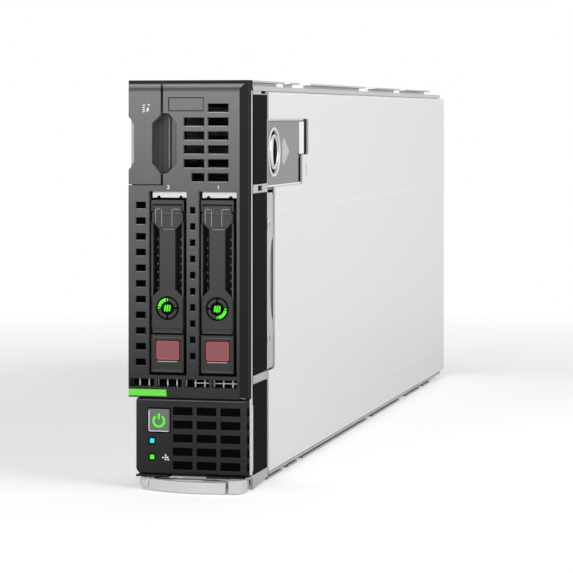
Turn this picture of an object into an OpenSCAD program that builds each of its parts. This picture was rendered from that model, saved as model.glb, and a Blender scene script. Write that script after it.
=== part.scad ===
// Half-height blade server: case, front bezel, two hot-plug drives, release lever, system board and its
// modules. Millimetres. The front bezel faces -Y, +X is the side with the access panel, +Z is up.
// The row frame's origin is the middle of the underside. Every module draws in the blade's own frame,
// whose y is measured back from the bezel's face, and set_back() moves it to the row frame.

/* [Overall] */
// Room between the drive cage and the right-hand side face
side_room = 4.9; // [4.9:0.1:6]
// Height of the blade above its drive bays
head_h = 49.1; // [47:0.1:56]
// How far the lever's grip stands in front of the bezel's face
grip_proud = 10.9; // [9.5:0.1:13]
// Thickness of the case's sheet metal
sheet = 1; // [0.8:0.1:1.2]
// Height of the runners above and below the case
runner_h = 2.5; // [2.2:0.1:3]

/* [Case] */
// Distance of the case's back edge from the back of the access panel
case_short = 14.5; // [12.5:0.5:18]
// Width of the lips that the access panel lies on
lip_h = 9; // [8:0.5:10]
// Sideways gap between the lips and the access panel
panel_gap = 0.2; // [0.1:0.05:0.3]
// Gap between the access panel's edge and the case's rim
panel_edge_gap = 0.3; // [0.2:0.1:0.4]
// Length of each hook under the access panel
hook_l = 14; // [10:1:18]
// Travel that brings the hooks to the notches in the lips
unlatch_travel = 12; // [10:1:16]
// Gap around a hook in its notch
hook_clear = 1; // [0.5:0.25:1.5]
// Number of hooks along each long edge of the access panel
hook_count = 4; // [3:1:5]

/* [Front bezel] */
// Depth of the bezel, from its face to the front plate
bezel_depth = 6; // [5.5:0.5:7]
// Wall of the bezel, the power panel and the service tab
bezel_wall = 1.8; // [1.4:0.1:2.2]
// Width of the slanted shoulder on the right of the bezel
shoulder_w = 4.3; // [3.5:0.1:4.8]
// Radius of the bezel's top edge
top_round = 2; // [1:0.25:2.5]
// Height of the bezel's lower edge
bezel_bottom = 40.3; // [40:0.1:41]
// Width of one upper vent
vent_w = 9.5; // [8:0.1:9.8]
// Height of one upper vent
vent_h = 3.7; // [3:0.1:4.5]
// Distance from one upper vent to the next one down
vent_pitch = 6.13; // [5.5:0.01:6.2]
// Width of one vent beside a drive bay
slot_w = 4.7; // [3.5:0.1:4.8]
// Height of one vent beside a drive bay
slot_h = 3; // [2.4:0.1:3.8]

/* [Power panel] */
// Depth of the power panel's face behind the bezel's face
panel_setback = 1.6; // [1:0.1:2]
// Width of the power button
power_w = 9.7; // [8:0.1:10]
// Height of the power button
power_h = 10; // [8:0.1:11]
// Travel of the power button
power_travel = 1.2; // [0.8:0.1:1.4]
// Gap around a button in its hole
button_gap = 0.3; // [0.2:0.05:0.4]
// Width of one lower vent
low_vent_w = 9; // [8:0.1:9.4]
// Height of one lower vent
low_vent_h = 3.55; // [3:0.05:4]

/* [Drive bays] */
// Width of a drive bay
bay_w = 17.3; // [17:0.1:17.7]
// Space in a bay under its carrier
bay_under = 1.1; // [0.8:0.1:1.3]
// Space in a bay over its carrier, where the strike plate sits
bay_over = 3.9; // [3.7:0.1:4.2]
// Distance between the middles of the two bays
bay_pitch = 22.8; // [22.5:0.1:23]
// Width of a drive carrier's front
carrier_w = 14.9; // [14.6:0.1:15.2]
// Width of a 2.5 inch disk drive, which lies upright here
disk_h = 69.85; // [69.6:0.05:70.1]
// Thickness of a 2.5 inch disk drive
disk_t = 14.4; // [9.5:0.1:14.6]
// Length of a 2.5 inch disk drive
disk_l = 100.4; // [99:0.1:100.6]
// Diameter of the status ring on a drive's latch
ring_d = 10.4; // [9:0.1:11]
// Travel of a drive's eject button
eject_travel = 2; // [1:0.25:2.5]

/* [Lever] */
// Radius of the curve of the lever's grip
grip_r = 48; // [44:1:60]
// Height of the lever's grip
grip_h = 4.8; // [4.2:0.1:4.9]
// Thickness of the lever's grip, front to back
grip_t = 2.4; // [1.8:0.1:2.6]
// Travel of the lever's release button
lever_button_travel = 3; // [2:0.25:4]
// Radius of the lever's pivot pin
pivot_r = 2; // [1.6:0.1:2.4]
// Radial running clearance of pins in their holes
running = 0.05; // [0.02:0.01:0.08]

/* [System board] */
// Thickness of the system board
board_t = 1.6; // [1.4:0.1:2]
// Height of the board above the case's left wall
standoff_h = 1.5; // [1.2:0.1:2]
// Length of a heat sink, along the air flow
sink_l = 90; // [80:1:92]
// Height of a heat sink's fins
fin_h = 32; // [24:1:36]
// Number of fins on a heat sink
fin_count = 30; // [20:1:34]
// Distance between two memory sockets
dimm_pitch = 9.4; // [8.8:0.1:9.6]
// Length of a memory module
dimm_l = 133.35; // [132:0.05:134]
// Height of a memory module
dimm_h = 31.25; // [18:0.25:34]
// Distance between the two rows of memory sockets
bank_gap = 21.85; // [19.5:0.05:26]
// Distance from the rear row of memory sockets to the cards at the back
card_gap = 12.85; // [11:0.05:20]
// Length of a card at the back
card_l = 62; // [60:0.5:70]
// Gap between one card at the back and the next
card_step = 4.5; // [3:0.1:6]

/* [Back] */
// Radius of the two guide sockets beside the midplane connector
guide_r = 3.5; // [3:0.1:4]
// Depth of the guide sockets
guide_depth = 14; // [12:0.5:16]

/* [Hidden] */
$fn = 48;

// ---- the overall sizes follow from what the blade holds ----
cage_t = 0.8;
disk_front = 12.2;
bay_in = 18.25;                           // from the left-hand face to the middle of bay 2
blade_w = bay_in + bay_pitch + bay_w / 2 + cage_t + side_room;
rail_t = 2.5;
bay_lo = 50.2;
carrier_lo = bay_lo + bay_under;
carrier_hi = carrier_lo + 0.5 + rail_t + 0.2 + disk_h + 0.2 + rail_t + 0.55;
bay_top = carrier_hi + bay_over;
blade_h = bay_top + head_h;
dimm_end = 4.4;
bank_l = dimm_l + 2 * dimm_end;
bank_front = [92, 92 + bank_l + bank_gap];
card_front = bank_front[1] + bank_l + card_gap;
midplane_front = card_front + card_l + 1.5;
back = midplane_front + 32;               // back edge of the access panel
blade_d = back + grip_proud;

// ---- places shared by several pieces ----
eps = 0.01;
cut = 1;                                  // how far a cutter runs past a face
seam = 0.04;                              // joint between two folded sheets
left = -blade_w / 2;
right = blade_w / 2;
case_back = back - case_short;
case_lo = runner_h - 0.1;                 // underside of the case
case_hi = blade_h - runner_h;             // top of the case
plate_back = bezel_depth + sheet;         // back face of the front plate

// right-hand side, from the outside inwards
panel_in = right - sheet;                 // inner face of the access panel
lip_out = panel_in - panel_gap;
lip_in = lip_out - sheet;
panel_front = 36;                         // front edge of the access panel
panel_lo = case_lo + 1.4;
rim_lo = case_hi - 2.1;                   // lower edge of the case's upper rim
panel_hi = rim_lo - panel_edge_gap;
window_front = 48;                        // notch of the panel beside the drive bays
window_lo = bay_lo - 0.7;
deck_lo = bay_top + 0.9;                  // notch of the panel around the release
deck_step = deck_lo + 12.9;
deck_hi = blade_h - 17.2;
deck_back_low = 104;
deck_back_high = 117;
deck_x = right - 3.4;                     // inner face of the deck's floor

// drive bays; bay 1 is the right-hand one
bay_mid = [left + bay_in + bay_pitch, left + bay_in];
drive_shift = -0.4;                       // the carriers sit a little left of the middle of their bays
cage_back = disk_front + disk_l + 5.4;
rail_gap = 0.3;
rail_lo = carrier_lo + 0.5;
disk_lo = rail_lo + rail_t + 0.2;
disk_hi = disk_lo + disk_h;
rail_hi = disk_hi + 0.2 + rail_t;
backplane_y = cage_back;
backplane_t = 1.6;

// drive latch
latch_y = 0.9;
latch_t = 2.4;
barrel_r = 1.4;
trunnion_r = 0.8;
carrier_face = 1;
top_lip = 1.8;                            // lip of the carrier above its latch
ear_t = 0.8;                              // ears that hold the latch's trunnions
hinge_y = latch_y + barrel_r;
hinge_z = carrier_hi - top_lip - 0.3 - barrel_r;
shoulder_z = hinge_z - barrel_r - 0.8;    // the latch is full width below this
latch_lo = carrier_lo + 17.2;
latch_half = carrier_w / 2 - 0.35;
bar_half = 3.55;
ring_z = carrier_lo + 28.5;
eject_w = 10.3;
eject_h = 8.3;
eject_lo = carrier_lo + 5.7;

// service tab
tab_right = left + 15;
tab_slot = 1.1;
tab_lo = bay_top + 3;
grip_lo = tab_lo + 4.9;
grip_hi = blade_h - 14.6;
scoop_left = left + 11.1;
scoop_right = left + 22.4;
scoop_depth = 6.4;
card_x = tab_right - 1.9;
card_t = 1.2;
card_lo = tab_lo + 8.6;
card_hi = blade_h - 9.5;
card_back = 78;

// lever
pivot = [left + 9.7, 3.5];
lever_lo = 0.1;
lever_plate_lo = 1.7;
lever_plate_hi = 4.1;
housing_lo = 5.1;
housing_hi = 6;
panel_bottom = housing_hi + 0.2;          // lower edge of the power panel
panel_top = bezel_bottom - 0.3;
panel_left = left + 3.3;
panel_right = right - 0.3;
notch_back = 14;                          // the case's lower left corner is cut back to here

// system board
board_in = left + sheet + standoff_h;
board_out = board_in + board_t;
board_lo = housing_hi + 1.2;
board_hi = case_hi - 2.6;
board_front = 16;
board_back = case_back - 3;
socket_t = 5.4;
sink_base = 4;
sink_w = 76;
sink_mid = (case_lo + case_hi) / 2;
sink_front = [136, 262];
sink_x = board_out + socket_t + 1.9;

// memory banks
dimm_w = 6.5;
dimm_seat = 2.5;
dimm_socket_h = 7.5;
dimm_low = board_lo + 7.5;
dimm_high = board_hi - 8.8 - 3 * dimm_pitch;
dimm_z = [for (base = [dimm_low, dimm_high], i = [0 : 3]) base + i * dimm_pitch];
dimm_pivot_x = board_out + 3;
dimm_latch_h = 17;

// cards and the back
card_stack = 11.4;
card_w = (case_hi - 13.1 - 2 * card_step) / 3;
card_z = [9, 9.5 + card_w + card_step, case_hi - card_w - 4.1];
midplane_back = back - 2.5;
midplane_lo = 36;
midplane_hi = case_hi - 34.1;
midplane_out = board_out + 20;

steel = [0.82, 0.82, 0.83];
dark_plastic = [0.24, 0.24, 0.25];
black_plastic = [0.1, 0.1, 0.1];
silver = [0.74, 0.74, 0.75];
board_green = [0.07, 0.24, 0.12];
connector_black = [0.06, 0.06, 0.07];
aluminium = [0.7, 0.71, 0.73];
lamp_green = [0.35, 0.9, 0.2];

// ---- helpers ----
module set_back() translate([0, grip_proud - blade_d / 2, 0]) children();

// box between two opposite corners
module span(a, b) translate(a) cube(b - a);

// outlines in x and y, raised from z0 to z1
module upright(z0, z1) translate([0, 0, z0]) linear_extrude(z1 - z0) children();

// outlines in x and z, carried from y0 back to y1
module frontal(y0, y1) translate([0, y1, 0]) rotate([90, 0, 0]) linear_extrude(y1 - y0) children();

// outlines in y and z, carried from x0 across to x1
module lateral(x0, x1) translate([x0, 0, 0]) rotate([90, 0, 90]) linear_extrude(x1 - x0) children();

// flat rectangle between two corners, and one with round corners of radius r
module rect(a, b) translate(a) square(b - a);
module round_rect(a, b, r) {
  rect(a + [r, 0], b - [r, 0]);
  rect(a + [0, r], b - [0, r]);
  for (x = [a.x + r, b.x - r], y = [a.y + r, b.y - r])
    translate([x, y]) circle(r);
}

// round bars along x, y and z
module bar_x(x0, x1, y, z, r) translate([x0, y, z]) rotate([0, 90, 0]) cylinder(h = x1 - x0, r = r);
module bar_y(x, y0, y1, z, r) translate([x, y0, z]) rotate([-90, 0, 0]) cylinder(h = y1 - y0, r = r);
module bar_z(x, y, z0, z1, r) translate([x, y, z0]) cylinder(h = z1 - z0, r = r);

// points of a circular arc about c, from angle a0 to a1
function arc(c, r, a0, a1, n = 6) =
  [for (i = [0 : n]) c + r * [cos(a0 + (a1 - a0) * i / n), sin(a0 + (a1 - a0) * i / n)]];

// ---- case ----
hook_step = (case_back - panel_front - 2 * 24 - hook_l) / (hook_count - 1);
hook_y = [for (i = [0 : hook_count - 1]) panel_front + 24 + i * hook_step];

module lips() {
  for (z = [[case_lo, case_lo + lip_h], [case_hi - lip_h, case_hi]])
    difference() {
      span([lip_in, panel_front, z[0]], [lip_out, case_back, z[1]]);
      for (y = hook_y)
        span([lip_in - cut, y + unlatch_travel - hook_clear, case_lo + sheet + 2],
             [lip_out + cut, y + unlatch_travel + hook_l + hook_clear, case_hi - sheet - 2]);
    }
}

module board_standoffs() {
  for (y = [board_front + 6, 124, 246, 396, board_back - 7], z = [board_lo + 3.5, board_hi - 3.5])
    bar_x(left + sheet - eps, board_in, y, z, 2.6);
}

module chassis() color(steel) set_back() {
  difference() {
    union() {
      span([left, plate_back, case_lo], [left + sheet, back, case_hi]);
      span([left, plate_back, case_hi - sheet], [right, case_back, case_hi]);
      span([left, panel_front, case_lo], [right, case_back, case_lo + sheet]);
      span([panel_in, plate_back, rim_lo], [right, case_back, case_hi]);
      span([panel_in, panel_front, case_lo], [right, case_back, case_lo + 1.1]);
      lips();
      board_standoffs();
    }
    span([left - cut, plate_back - cut, 0], [panel_left, notch_back, bezel_bottom]);
    span([left - cut, plate_back - cut, 0], [left + sheet + cut, panel_front, housing_hi]);
    lateral(left - cut, left + sheet + cut)
      for (z = [case_lo, case_hi])
        translate([back, z]) rotate(45) square(5, center = true);
  }
}

module rear_grille() color(steel) set_back() {
  cell = 5.2;
  difference() {
    span([left + sheet, case_back - 2 * sheet, case_lo + sheet], [lip_in - 2, case_back - sheet, case_hi - sheet]);
    span([left, case_back - 3 * sheet, midplane_lo - 13], [midplane_out + 1, case_back, midplane_hi + 13]);
    frontal(case_back - 3 * sheet, case_back)
      for (i = [0 : 3], j = [0 : 26])
        translate([midplane_out + 5 + i * (cell + 0.4), 13 + (j + 0.5 * (i % 2)) * (cell + 0.6)])
          circle(d = cell, $fn = 6);
  }
}

// pairs of runners that hang the blade in its bay, above and below the case
top_runs = [[8, 71], [84, 103], [127, 262], [286, 362], [380, 462]];
low_runs = [[38, 67], [78, 98], [110, 264], [281, 360], [383, 426], [438, 460]];
runner_t = 0.9;
module runner(side, run, z_case, z_edge) {
  up = z_edge > z_case;
  x0 = side > 0 ? right - 5.8 : left + 1;
  web_x = side > 0 ? x0 : x0 + 3.8;
  foot = up ? [z_edge - runner_t, z_edge] : [z_edge, z_edge + runner_t];
  span([x0, run[0], foot[0]], [x0 + 4.8, run[1], foot[1]]);
  span([web_x, run[0], min(z_case, foot[0])], [web_x + 1, run[1], max(z_case, foot[1])]);
}
module guide_rails() color(steel) set_back()
  for (side = [-1, 1]) {
    for (run = top_runs) runner(side, run, case_hi, blade_h);
    for (run = low_runs) runner(side, run, case_lo, 0);
  }

// ---- front plate and what lies on it ----
upper_vents = [for (row = [0 : 5]) blade_h - 14.05 - row * vent_pitch];
vent_right = left + 46;                   // right edge of the upper vents
side_vent_pitch = (bay_top - bay_lo - 11.8) / 10;
mid_vent_pitch = (bay_top - bay_lo - 17.04) / 9;
side_vent_z = [for (i = [0 : 10]) bay_lo + 4.1 + i * side_vent_pitch];
mid_vent_z = [for (i = [0 : 9]) bay_lo + 7.2 + i * mid_vent_pitch];
low_vent_z = [for (i = [0 : 4]) 8.65 + i * 6];
low_vent_x = [for (i = [0 : 2]) panel_right - 22.5 + (i - 1) * (low_vent_w + 1.75) + 3];
slot_row = [45, 48.5];
slot_groups = [for (i = [0 : 3]) left + 0.8 + i * 12.6];
mid_x = (bay_mid[0] + bay_mid[1]) / 2;
side_slot_x = left + 3.5;
lamp_x = panel_left + 6.3;
lamp_z = [13.7, 20.9];
power_mid = [panel_left + 10.65, 30.1];

module front_plate() color(steel) set_back() {
  difference() {
    span([left, bezel_depth, housing_hi + 0.6], [right, plate_back, case_hi - sheet]);
    frontal(bezel_depth - cut, plate_back + cut) {
      for (x = bay_mid)
        rect([x - bay_w / 2, bay_lo], [x + bay_w / 2, bay_top]);
      rect([left + 1.6, tab_lo + 2.6], [scoop_right + 1, card_hi + 1.4]);
      rect([vent_right - 2 * vent_w - 2.2, upper_vents[5] - 1.2], [vent_right + 1, blade_h - 9.4]);
      rect([side_slot_x - 0.4, bay_lo + 3], [side_slot_x + slot_w + 0.2, bay_top - 3.3]);
      rect([mid_x - 1.6, bay_lo + 6], [mid_x + 1.6, bay_top - 5.3]);
      rect([left + 1.6, slot_row[0] - 0.4], [right - 5, slot_row[1] + 0.4]);
      rect([power_mid.x - 6, low_vent_z[0] - 0.6], [low_vent_x[0] - 1.2, 37.2]);
      rect([low_vent_x[0] - 0.4, low_vent_z[0] - 0.6], [low_vent_x[2] + low_vent_w + 0.4, 37.2]);
      rect([left - cut, 0], [panel_left, bezel_bottom]);
    }
  }
  for (z = [10.2, 37.9 - 0.3])
    bar_y(power_mid.x - 3.5, plate_back - eps, 12, z, 1.2);
}

shoulder = right - shoulder_w;
module bezel_outline(inset) {
  d = bezel_depth;
  polygon(concat(
    [[left + inset, d + (inset > 0 ? cut : 0)]],
    inset > 0 ? [[left + inset, inset], [shoulder - 0.4, inset]]
              : concat(arc([left + 0.6, 0.6], 0.6, 180, 270, 3), [[shoulder, 0]]),
    [[right - shoulder_w * 0.3 - inset, d * 0.42 + (inset > 0 ? 0.5 : 0)], [right - inset, d]],
    inset > 0 ? [[right - inset, d + cut]] : []
  ));
}
module bezel_side(inset, z0, z1) {
  r = max(top_round - inset, 0.4);
  polygon(concat(
    [[bezel_depth + (inset > 0 ? cut : 0), z0], [inset > 0 ? -cut : 0, z0]],
    inset > 0 ? [[-cut, z1]] : arc([r, z1 - r], r, 180, 90, 6),
    [[bezel_depth + (inset > 0 ? cut : 0), z1]]
  ));
}
module bezel_shell(z0, z1) {
  difference() {
    intersection() {
      upright(z0, z1) bezel_outline(0);
      lateral(left - cut, right + cut) bezel_side(0, z0, z1);
    }
    intersection() {
      upright(z0, z1) bezel_outline(bezel_wall);
      lateral(left - cut, right + cut) bezel_side(bezel_wall, z0 + bezel_wall, z1 - bezel_wall);
    }
  }
}

// finger scoop shared by the service tab and the bezel: an eight-sided mouth on a curved trough
module scoop_mouth(grow = 0) {
  c = 4.4;
  polygon([
    [scoop_left - grow, grip_lo + c - grow / 2], [scoop_left - grow, grip_hi - c + grow / 2],
    [scoop_left + c - grow / 2, grip_hi + grow], [scoop_right - c + 0.6 + grow / 2, grip_hi + grow],
    [scoop_right + grow, grip_hi - c + grow / 2], [scoop_right + grow, grip_lo + c - grow / 2],
    [scoop_right - c + grow / 2, grip_lo - grow], [scoop_left + c - 0.8 - grow / 2, grip_lo - grow]
  ]);
}
module scoop_trough(grow = 0) {
  polygon(concat(
    [[scoop_left - grow, -cut]],
    arc([scoop_left + 5.6, 0], 5.6 + grow, 180, 115, 5),
    [[scoop_left + 5, scoop_depth + grow], [scoop_right - 4.2, scoop_depth + grow],
     [scoop_right - 2.6 + grow, 2.6], [scoop_right - 1.8 + grow, 2.4], [scoop_right + grow, 0],
     [scoop_right + grow, -cut]]
  ));
}
module scoop(grow = 0) {
  intersection() {
    frontal(-cut, scoop_depth + 3) scoop_mouth(grow);
    upright(grip_lo - 2, grip_hi + 2) scoop_trough(grow);
  }
}

module front_bezel() color(dark_plastic) set_back() {
  difference() {
    union() {
      bezel_shell(bezel_bottom, blade_h);
      intersection() {
        scoop(1.2);
        span([tab_right + tab_slot, 0, tab_lo], [right, bezel_depth + 3, blade_h]);
      }
    }
    scoop();
    span([left - cut, -cut, tab_lo - 0.4], [tab_right + tab_slot, bezel_depth + cut, blade_h + cut]);
    frontal(-cut, bezel_wall + cut) {
      for (row = [0 : 5], col = [0 : 1])
        if (row > 0 || col == 0) {
          w = (row == 5 && col == 1) ? vent_w - 3.6 : vent_w;
          x = vent_right - col * (vent_w + 1.5);
          rect([x - w, upper_vents[row]], [x, upper_vents[row] + vent_h]);
        }
      for (z = side_vent_z) rect([side_slot_x, z], [side_slot_x + slot_w, z + slot_h]);
      for (z = mid_vent_z) rect([mid_x - 1.25, z], [mid_x + 1.25, z + slot_h]);
      for (x = slot_groups) rect([x, slot_row[0]], [x + 11.2, slot_row[1]]);
      for (x = bay_mid)
        rect([x - bay_w / 2, bay_lo], [x + bay_w / 2, bay_top]);
    }
    // recess of the bare name plate, and of the accent strip
    span([left + 18.4, -cut, blade_h - 13.7], [left + 34.8, 0.5, blade_h - 7.6]);
    span([left - cut, -cut, bezel_bottom + 0.6], [left + 17.8, 0.8, bezel_bottom + 3.6]);
  }
  // sleeves that line the two bay mouths
  for (x = bay_mid)
    frontal(bezel_wall - eps, bezel_depth)
      difference() {
        rect([x - bay_w / 2 - 0.8, bay_lo - 0.8], [x + bay_w / 2 + 0.8, bay_top + 0.8]);
        rect([x - bay_w / 2, bay_lo], [x + bay_w / 2, bay_top]);
      }
}

module power_panel() color(dark_plastic) set_back() {
  y0 = panel_setback;
  difference() {
    intersection() {
      frontal(y0, bezel_depth) round_rect([panel_left, panel_bottom], [panel_right, panel_top], 1.6);
      lateral(left, right)
        polygon(concat(
          [[bezel_depth, panel_bottom], [y0 + 0.5, panel_bottom], [y0, panel_bottom + 0.5]],
          arc([y0 + 1.4, panel_top - 1.4], 1.4, 180, 90, 5), [[bezel_depth, panel_top]]));
    }
    span([panel_left + 1.4, y0 + bezel_wall, panel_bottom + 1.2],
         [panel_right - 1.4, bezel_depth + cut, panel_top - 1.6]);
    // large round of the lower left corner
    frontal(y0 - cut, bezel_depth + cut) difference() {
      rect([panel_left - cut, panel_bottom - cut], [panel_left + 3, panel_bottom + 3]);
      translate([panel_left + 3, panel_bottom + 3]) circle(3);
    }
    frontal(y0 - cut, y0 + bezel_wall + cut) {
      for (x = low_vent_x, z = low_vent_z) rect([x, z], [x + low_vent_w, z + low_vent_h]);
      translate(power_mid) square([power_w + 2 * button_gap, power_h + 2 * button_gap], center = true);
      for (z = lamp_z) translate([lamp_x + 1, z]) square(2.1, center = true);
    }
  }
}

module accent_strip() color(lamp_green) set_back()
  frontal(0.05, 0.8) polygon([
    [left + 0.2, bezel_bottom + 0.6], [left + 17.8, bezel_bottom + 0.6],
    [left + 17.5, bezel_bottom + 3.6], [left + 0.2, bezel_bottom + 3.6]]);

module front_mesh() color(steel) set_back() {
  // crossed bars behind the row of slots
  step = 4.14;
  span([left + 1.9, 4.4, slot_row[0] - 0.2], [right - 5.2, 4.9, slot_row[0] + 0.4]);
  span([left + 1.9, 4.4, slot_row[0] + 1.5], [right - 5.2, 4.9, slot_row[0] + 2]);
  span([left + 1.9, 4.4, slot_row[1] - 0.4], [right - 5.2, 4.9, slot_row[1] + 0.2]);
  for (x = [left + 4.5 : step : right - 6])
    span([x, 4.4, slot_row[0] - 0.2], [x + 0.8, bezel_depth, slot_row[1] + 0.2]);
}

// ---- right-hand front corner ----
frame_out = right - 0.5;
frame_in = frame_out - sheet;
strip_back = 33;
strip_z = [[housing_hi + 0.3, 46], [bay_lo - 0.2, bay_top - 1], [bay_top + 2.9, case_hi - 3.8]];
side_screw_at = [[36.6, 64.5], [37.2, 116]];

module side_frame() color(steel) set_back() {
  difference() {
    union() {
      // backing plate that closes the curved edge
      lateral(frame_in - 0.8, frame_in + eps)
        round_rect([window_front - 13, window_lo + 15], [window_front + 6, bay_top - 14], 1.5);
      lateral(frame_in, frame_out)
      polygon([
        [plate_back, housing_hi], [panel_front - panel_edge_gap, housing_hi],
        [panel_front - panel_edge_gap, window_lo + 0.8],
        [window_front - 3, window_lo + 0.8], [window_front - 1.6, window_lo + 2.4],
        [window_front - 1.6, window_lo + 21.6], [window_front - 4.6, window_lo + 25],
        [window_front - 9, window_lo + 36], [window_front - 8.6, bay_top - 32],
        [window_front - 4.6, bay_top - 24], [window_front - 1.6, bay_top - 22],
        [window_front - 1.6, deck_lo - 4.4], [window_front - 3, deck_lo - 2.4],
        [panel_front - panel_edge_gap, deck_lo - 2.4],
        [panel_front - panel_edge_gap, rim_lo], [plate_back, rim_lo]]);
    }
    // hook holes in front of the panel's two corners
    span([frame_in - cut, 18, deck_lo - 1.1], [frame_out + cut, 26, deck_lo + 1.2]);
    span([frame_in - cut, 24, rim_lo - 1.3], [frame_out + cut, 33, rim_lo + cut]);
    // opening through to the drive bay
    lateral(frame_in - cut, frame_out + cut)
      for (p = side_screw_at) translate(p) circle(1.5);
  }
}

module side_strips() color(black_plastic) set_back()
  for (z = strip_z)
    lateral(frame_out, right)
      round_rect([plate_back + 0.6, z[0]], [strip_back, z[1]], 0.6);

module side_screws() color(silver) set_back()
  for (p = side_screw_at) {
    bar_x(frame_in - 1.6, frame_out - 0.1, p.x, p.y, 1.5 - running);
    difference() {
      bar_x(frame_out, frame_out + 0.45, p.x, p.y, 2.4);
      lateral(frame_out + 0.2, right + cut)
        for (a = [0, 90]) translate(p) rotate(a) square([2.6, 0.6], center = true);
    }
  }

release_at = [49.3, deck_lo + 15.9];
release_r = 8.1;
module latch_deck() color(steel) set_back() {
  floor_out = deck_x + sheet;
  difference() {
    union() {
      lateral(deck_x, floor_out)
        rect([plate_back, deck_lo - 1.2], [deck_back_high + 2, deck_hi + 1.2]);
      // walls that rise from the floor to just under the panel
      for (z = [deck_lo - 1.2, deck_hi + 0.2])
        span([deck_x, panel_front - panel_edge_gap + 0.3, z], [panel_in - panel_gap, deck_back_high + 2, z + 1]);
      span([deck_x, deck_back_high + 1, deck_lo - 1.2], [panel_in - panel_gap, deck_back_high + 2, deck_hi + 1.2]);
      // raised collar around the release
      bar_x(deck_x, floor_out + 0.9, release_at.x, release_at.y, 11.3);
      // step that the panel's nose locks behind
      span([deck_x, deck_back_low - 4, deck_lo], [floor_out + 0.9, deck_back_low + 0.5, deck_step]);
    }
    bar_x(floor_out, floor_out + cut, release_at.x, release_at.y, 10.2);
    bar_x(deck_x - cut, floor_out + 2 * cut, release_at.x, release_at.y, release_r + button_gap);
  }
}

// ---- drive bays ----
module drive_cage() color(steel) set_back() {
  y0 = plate_back;
  wall_x = [bay_mid[1] - bay_w / 2 - cage_t, bay_mid[1] + bay_w / 2,
            bay_mid[0] - bay_w / 2 - cage_t, bay_mid[0] + bay_w / 2];
  x0 = wall_x[0];
  x1 = wall_x[3] + cage_t;
  hi = bay_top;
  // folded sheets that meet at seams: floor, roof and the four walls of the bays
  span([x0, y0, bay_lo - cage_t], [x1, cage_back, bay_lo]);
  span([x0, y0, hi], [x1, cage_back, hi + cage_t]);
  difference() {
    for (x = wall_x) span([x, y0, bay_lo + seam], [x + cage_t, cage_back, hi - seam]);
    for (x = wall_x, j = [0 : 4])
      lateral(x - 0.1, x + cage_t + 0.1)
        round_rect([22 + j * 18, bay_lo + 12], [34 + j * 18, hi - 12], 3);
  }
  // ears that carry the cage on the system board's side and on the side frame
  span([x1 + seam, y0, bay_lo + 6], [frame_in, y0 + 1, hi - 6]);
  span([board_out, 108, hi - 16], [x0 - seam, 109, hi - 4]);
  span([board_out, 108, bay_lo + 4], [x0 - seam, 109, bay_lo + 16]);
  // strike plates above the drives, with the two notches for the carrier's hooks
  for (x = bay_mid)
    frontal(2.2, y0 + eps)
      polygon([
        [x - bay_w / 2 + 1.1, hi - seam], [x - bay_w / 2 + 1.1, hi - 2.9], [x - 5.4, hi - 2.9],
        [x - 5.4, hi - 2.3], [x - 4.4, hi - 1.9], [x - 3.8, hi - 2.9],
        [x + 4.6, hi - 2.9], [x + 5.2, hi - 1.9], [x + 6.2, hi - 2.3], [x + 6.2, hi - 2.9],
        [x + bay_w / 2 - 0.2, hi - 2.9], [x + bay_w / 2 - 0.2, hi - seam]]);
  for (x = bay_mid)
    span([x - 6, y0 - eps, hi - 0.9], [x + 6, y0 + 5, hi - seam]);
}

module bay_guides() color(black_plastic) set_back() {
  hi = bay_top;
  for (x = bay_mid) {
    mid = x + drive_shift;
    // channel above and below each carrier
    for (z = [[bay_lo, rail_lo - rail_gap, rail_lo + 2], [hi, rail_hi + rail_gap, rail_hi - 2]]) {
      span([mid - 8.2, 14, min(z[0], z[1])], [mid + 8.2, cage_back - 4, max(z[0], z[1])]);
      for (side = [-1, 1])
        span([mid + side * 7.95 - 0.25, 14, min(z[0], z[2])], [mid + side * 7.95 + 0.25, cage_back - 4, max(z[0], z[2])]);
    }
  }
  // blocks that guide the service tab's card
  difference() {
    union() {
      span([card_x - 1.8, 12, hi + cage_t], [card_x + card_t + 1.8, 44, card_lo + 1.4]);
      span([card_x - 1.8, 12, card_hi - 1.4], [card_x + card_t + 1.8, 44, case_hi - sheet]);
    }
    span([card_x - rail_gap, 11, card_lo - rail_gap], [card_x + card_t + rail_gap, 45, card_hi + rail_gap]);
  }
}

plug_half = 16.5;                          // half length of a drive's connector
module drive_backplane() color(board_green) set_back()
  difference() {
    span([bay_mid[1] - 9.4, backplane_y, bay_lo - 0.8], [bay_mid[0] + 9.4, backplane_y + backplane_t, bay_top + 0.8]);
    for (z = [bay_lo + 20, bay_lo + 34, bay_lo + 48, bay_lo + 62])
      frontal(backplane_y - cut, backplane_y + backplane_t + cut)
        round_rect([mid_x - 1.6, z - 4], [mid_x + 1.6, z + 4], 1.5);
  }

module board_connectors() color(connector_black) set_back() {
  // sockets that take the two drives
  for (x = bay_mid)
    difference() {
      span([x - 3.6, backplane_y - 4.8, disk_lo + 8], [x + 2.8, backplane_y, disk_lo + 8 + 2 * plug_half + 5]);
      span([x + drive_shift - 1.2, backplane_y - 4.8 - cut, disk_lo + 9.6],
           [x + drive_shift + 1.2, backplane_y - 1.4, disk_lo + 11 + 2 * plug_half + 0.4]);
    }
  // stacking connectors under the three cards
  for (z = card_z)
    difference() {
      span([board_out, card_front + 8, z + 8], [board_out + card_stack, card_front + 18, z + card_w - 8]);
      span([board_out + 2, card_front + 8 - cut, z + 10], [board_out + 5, card_front + 10, z + card_w - 10]);
    }
  // link from the system board to the drive backplane
  span([board_out, backplane_y + backplane_t, bay_lo + 24], [board_out + 9, backplane_y + backplane_t + 9, bay_lo + 58]);
}

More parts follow.
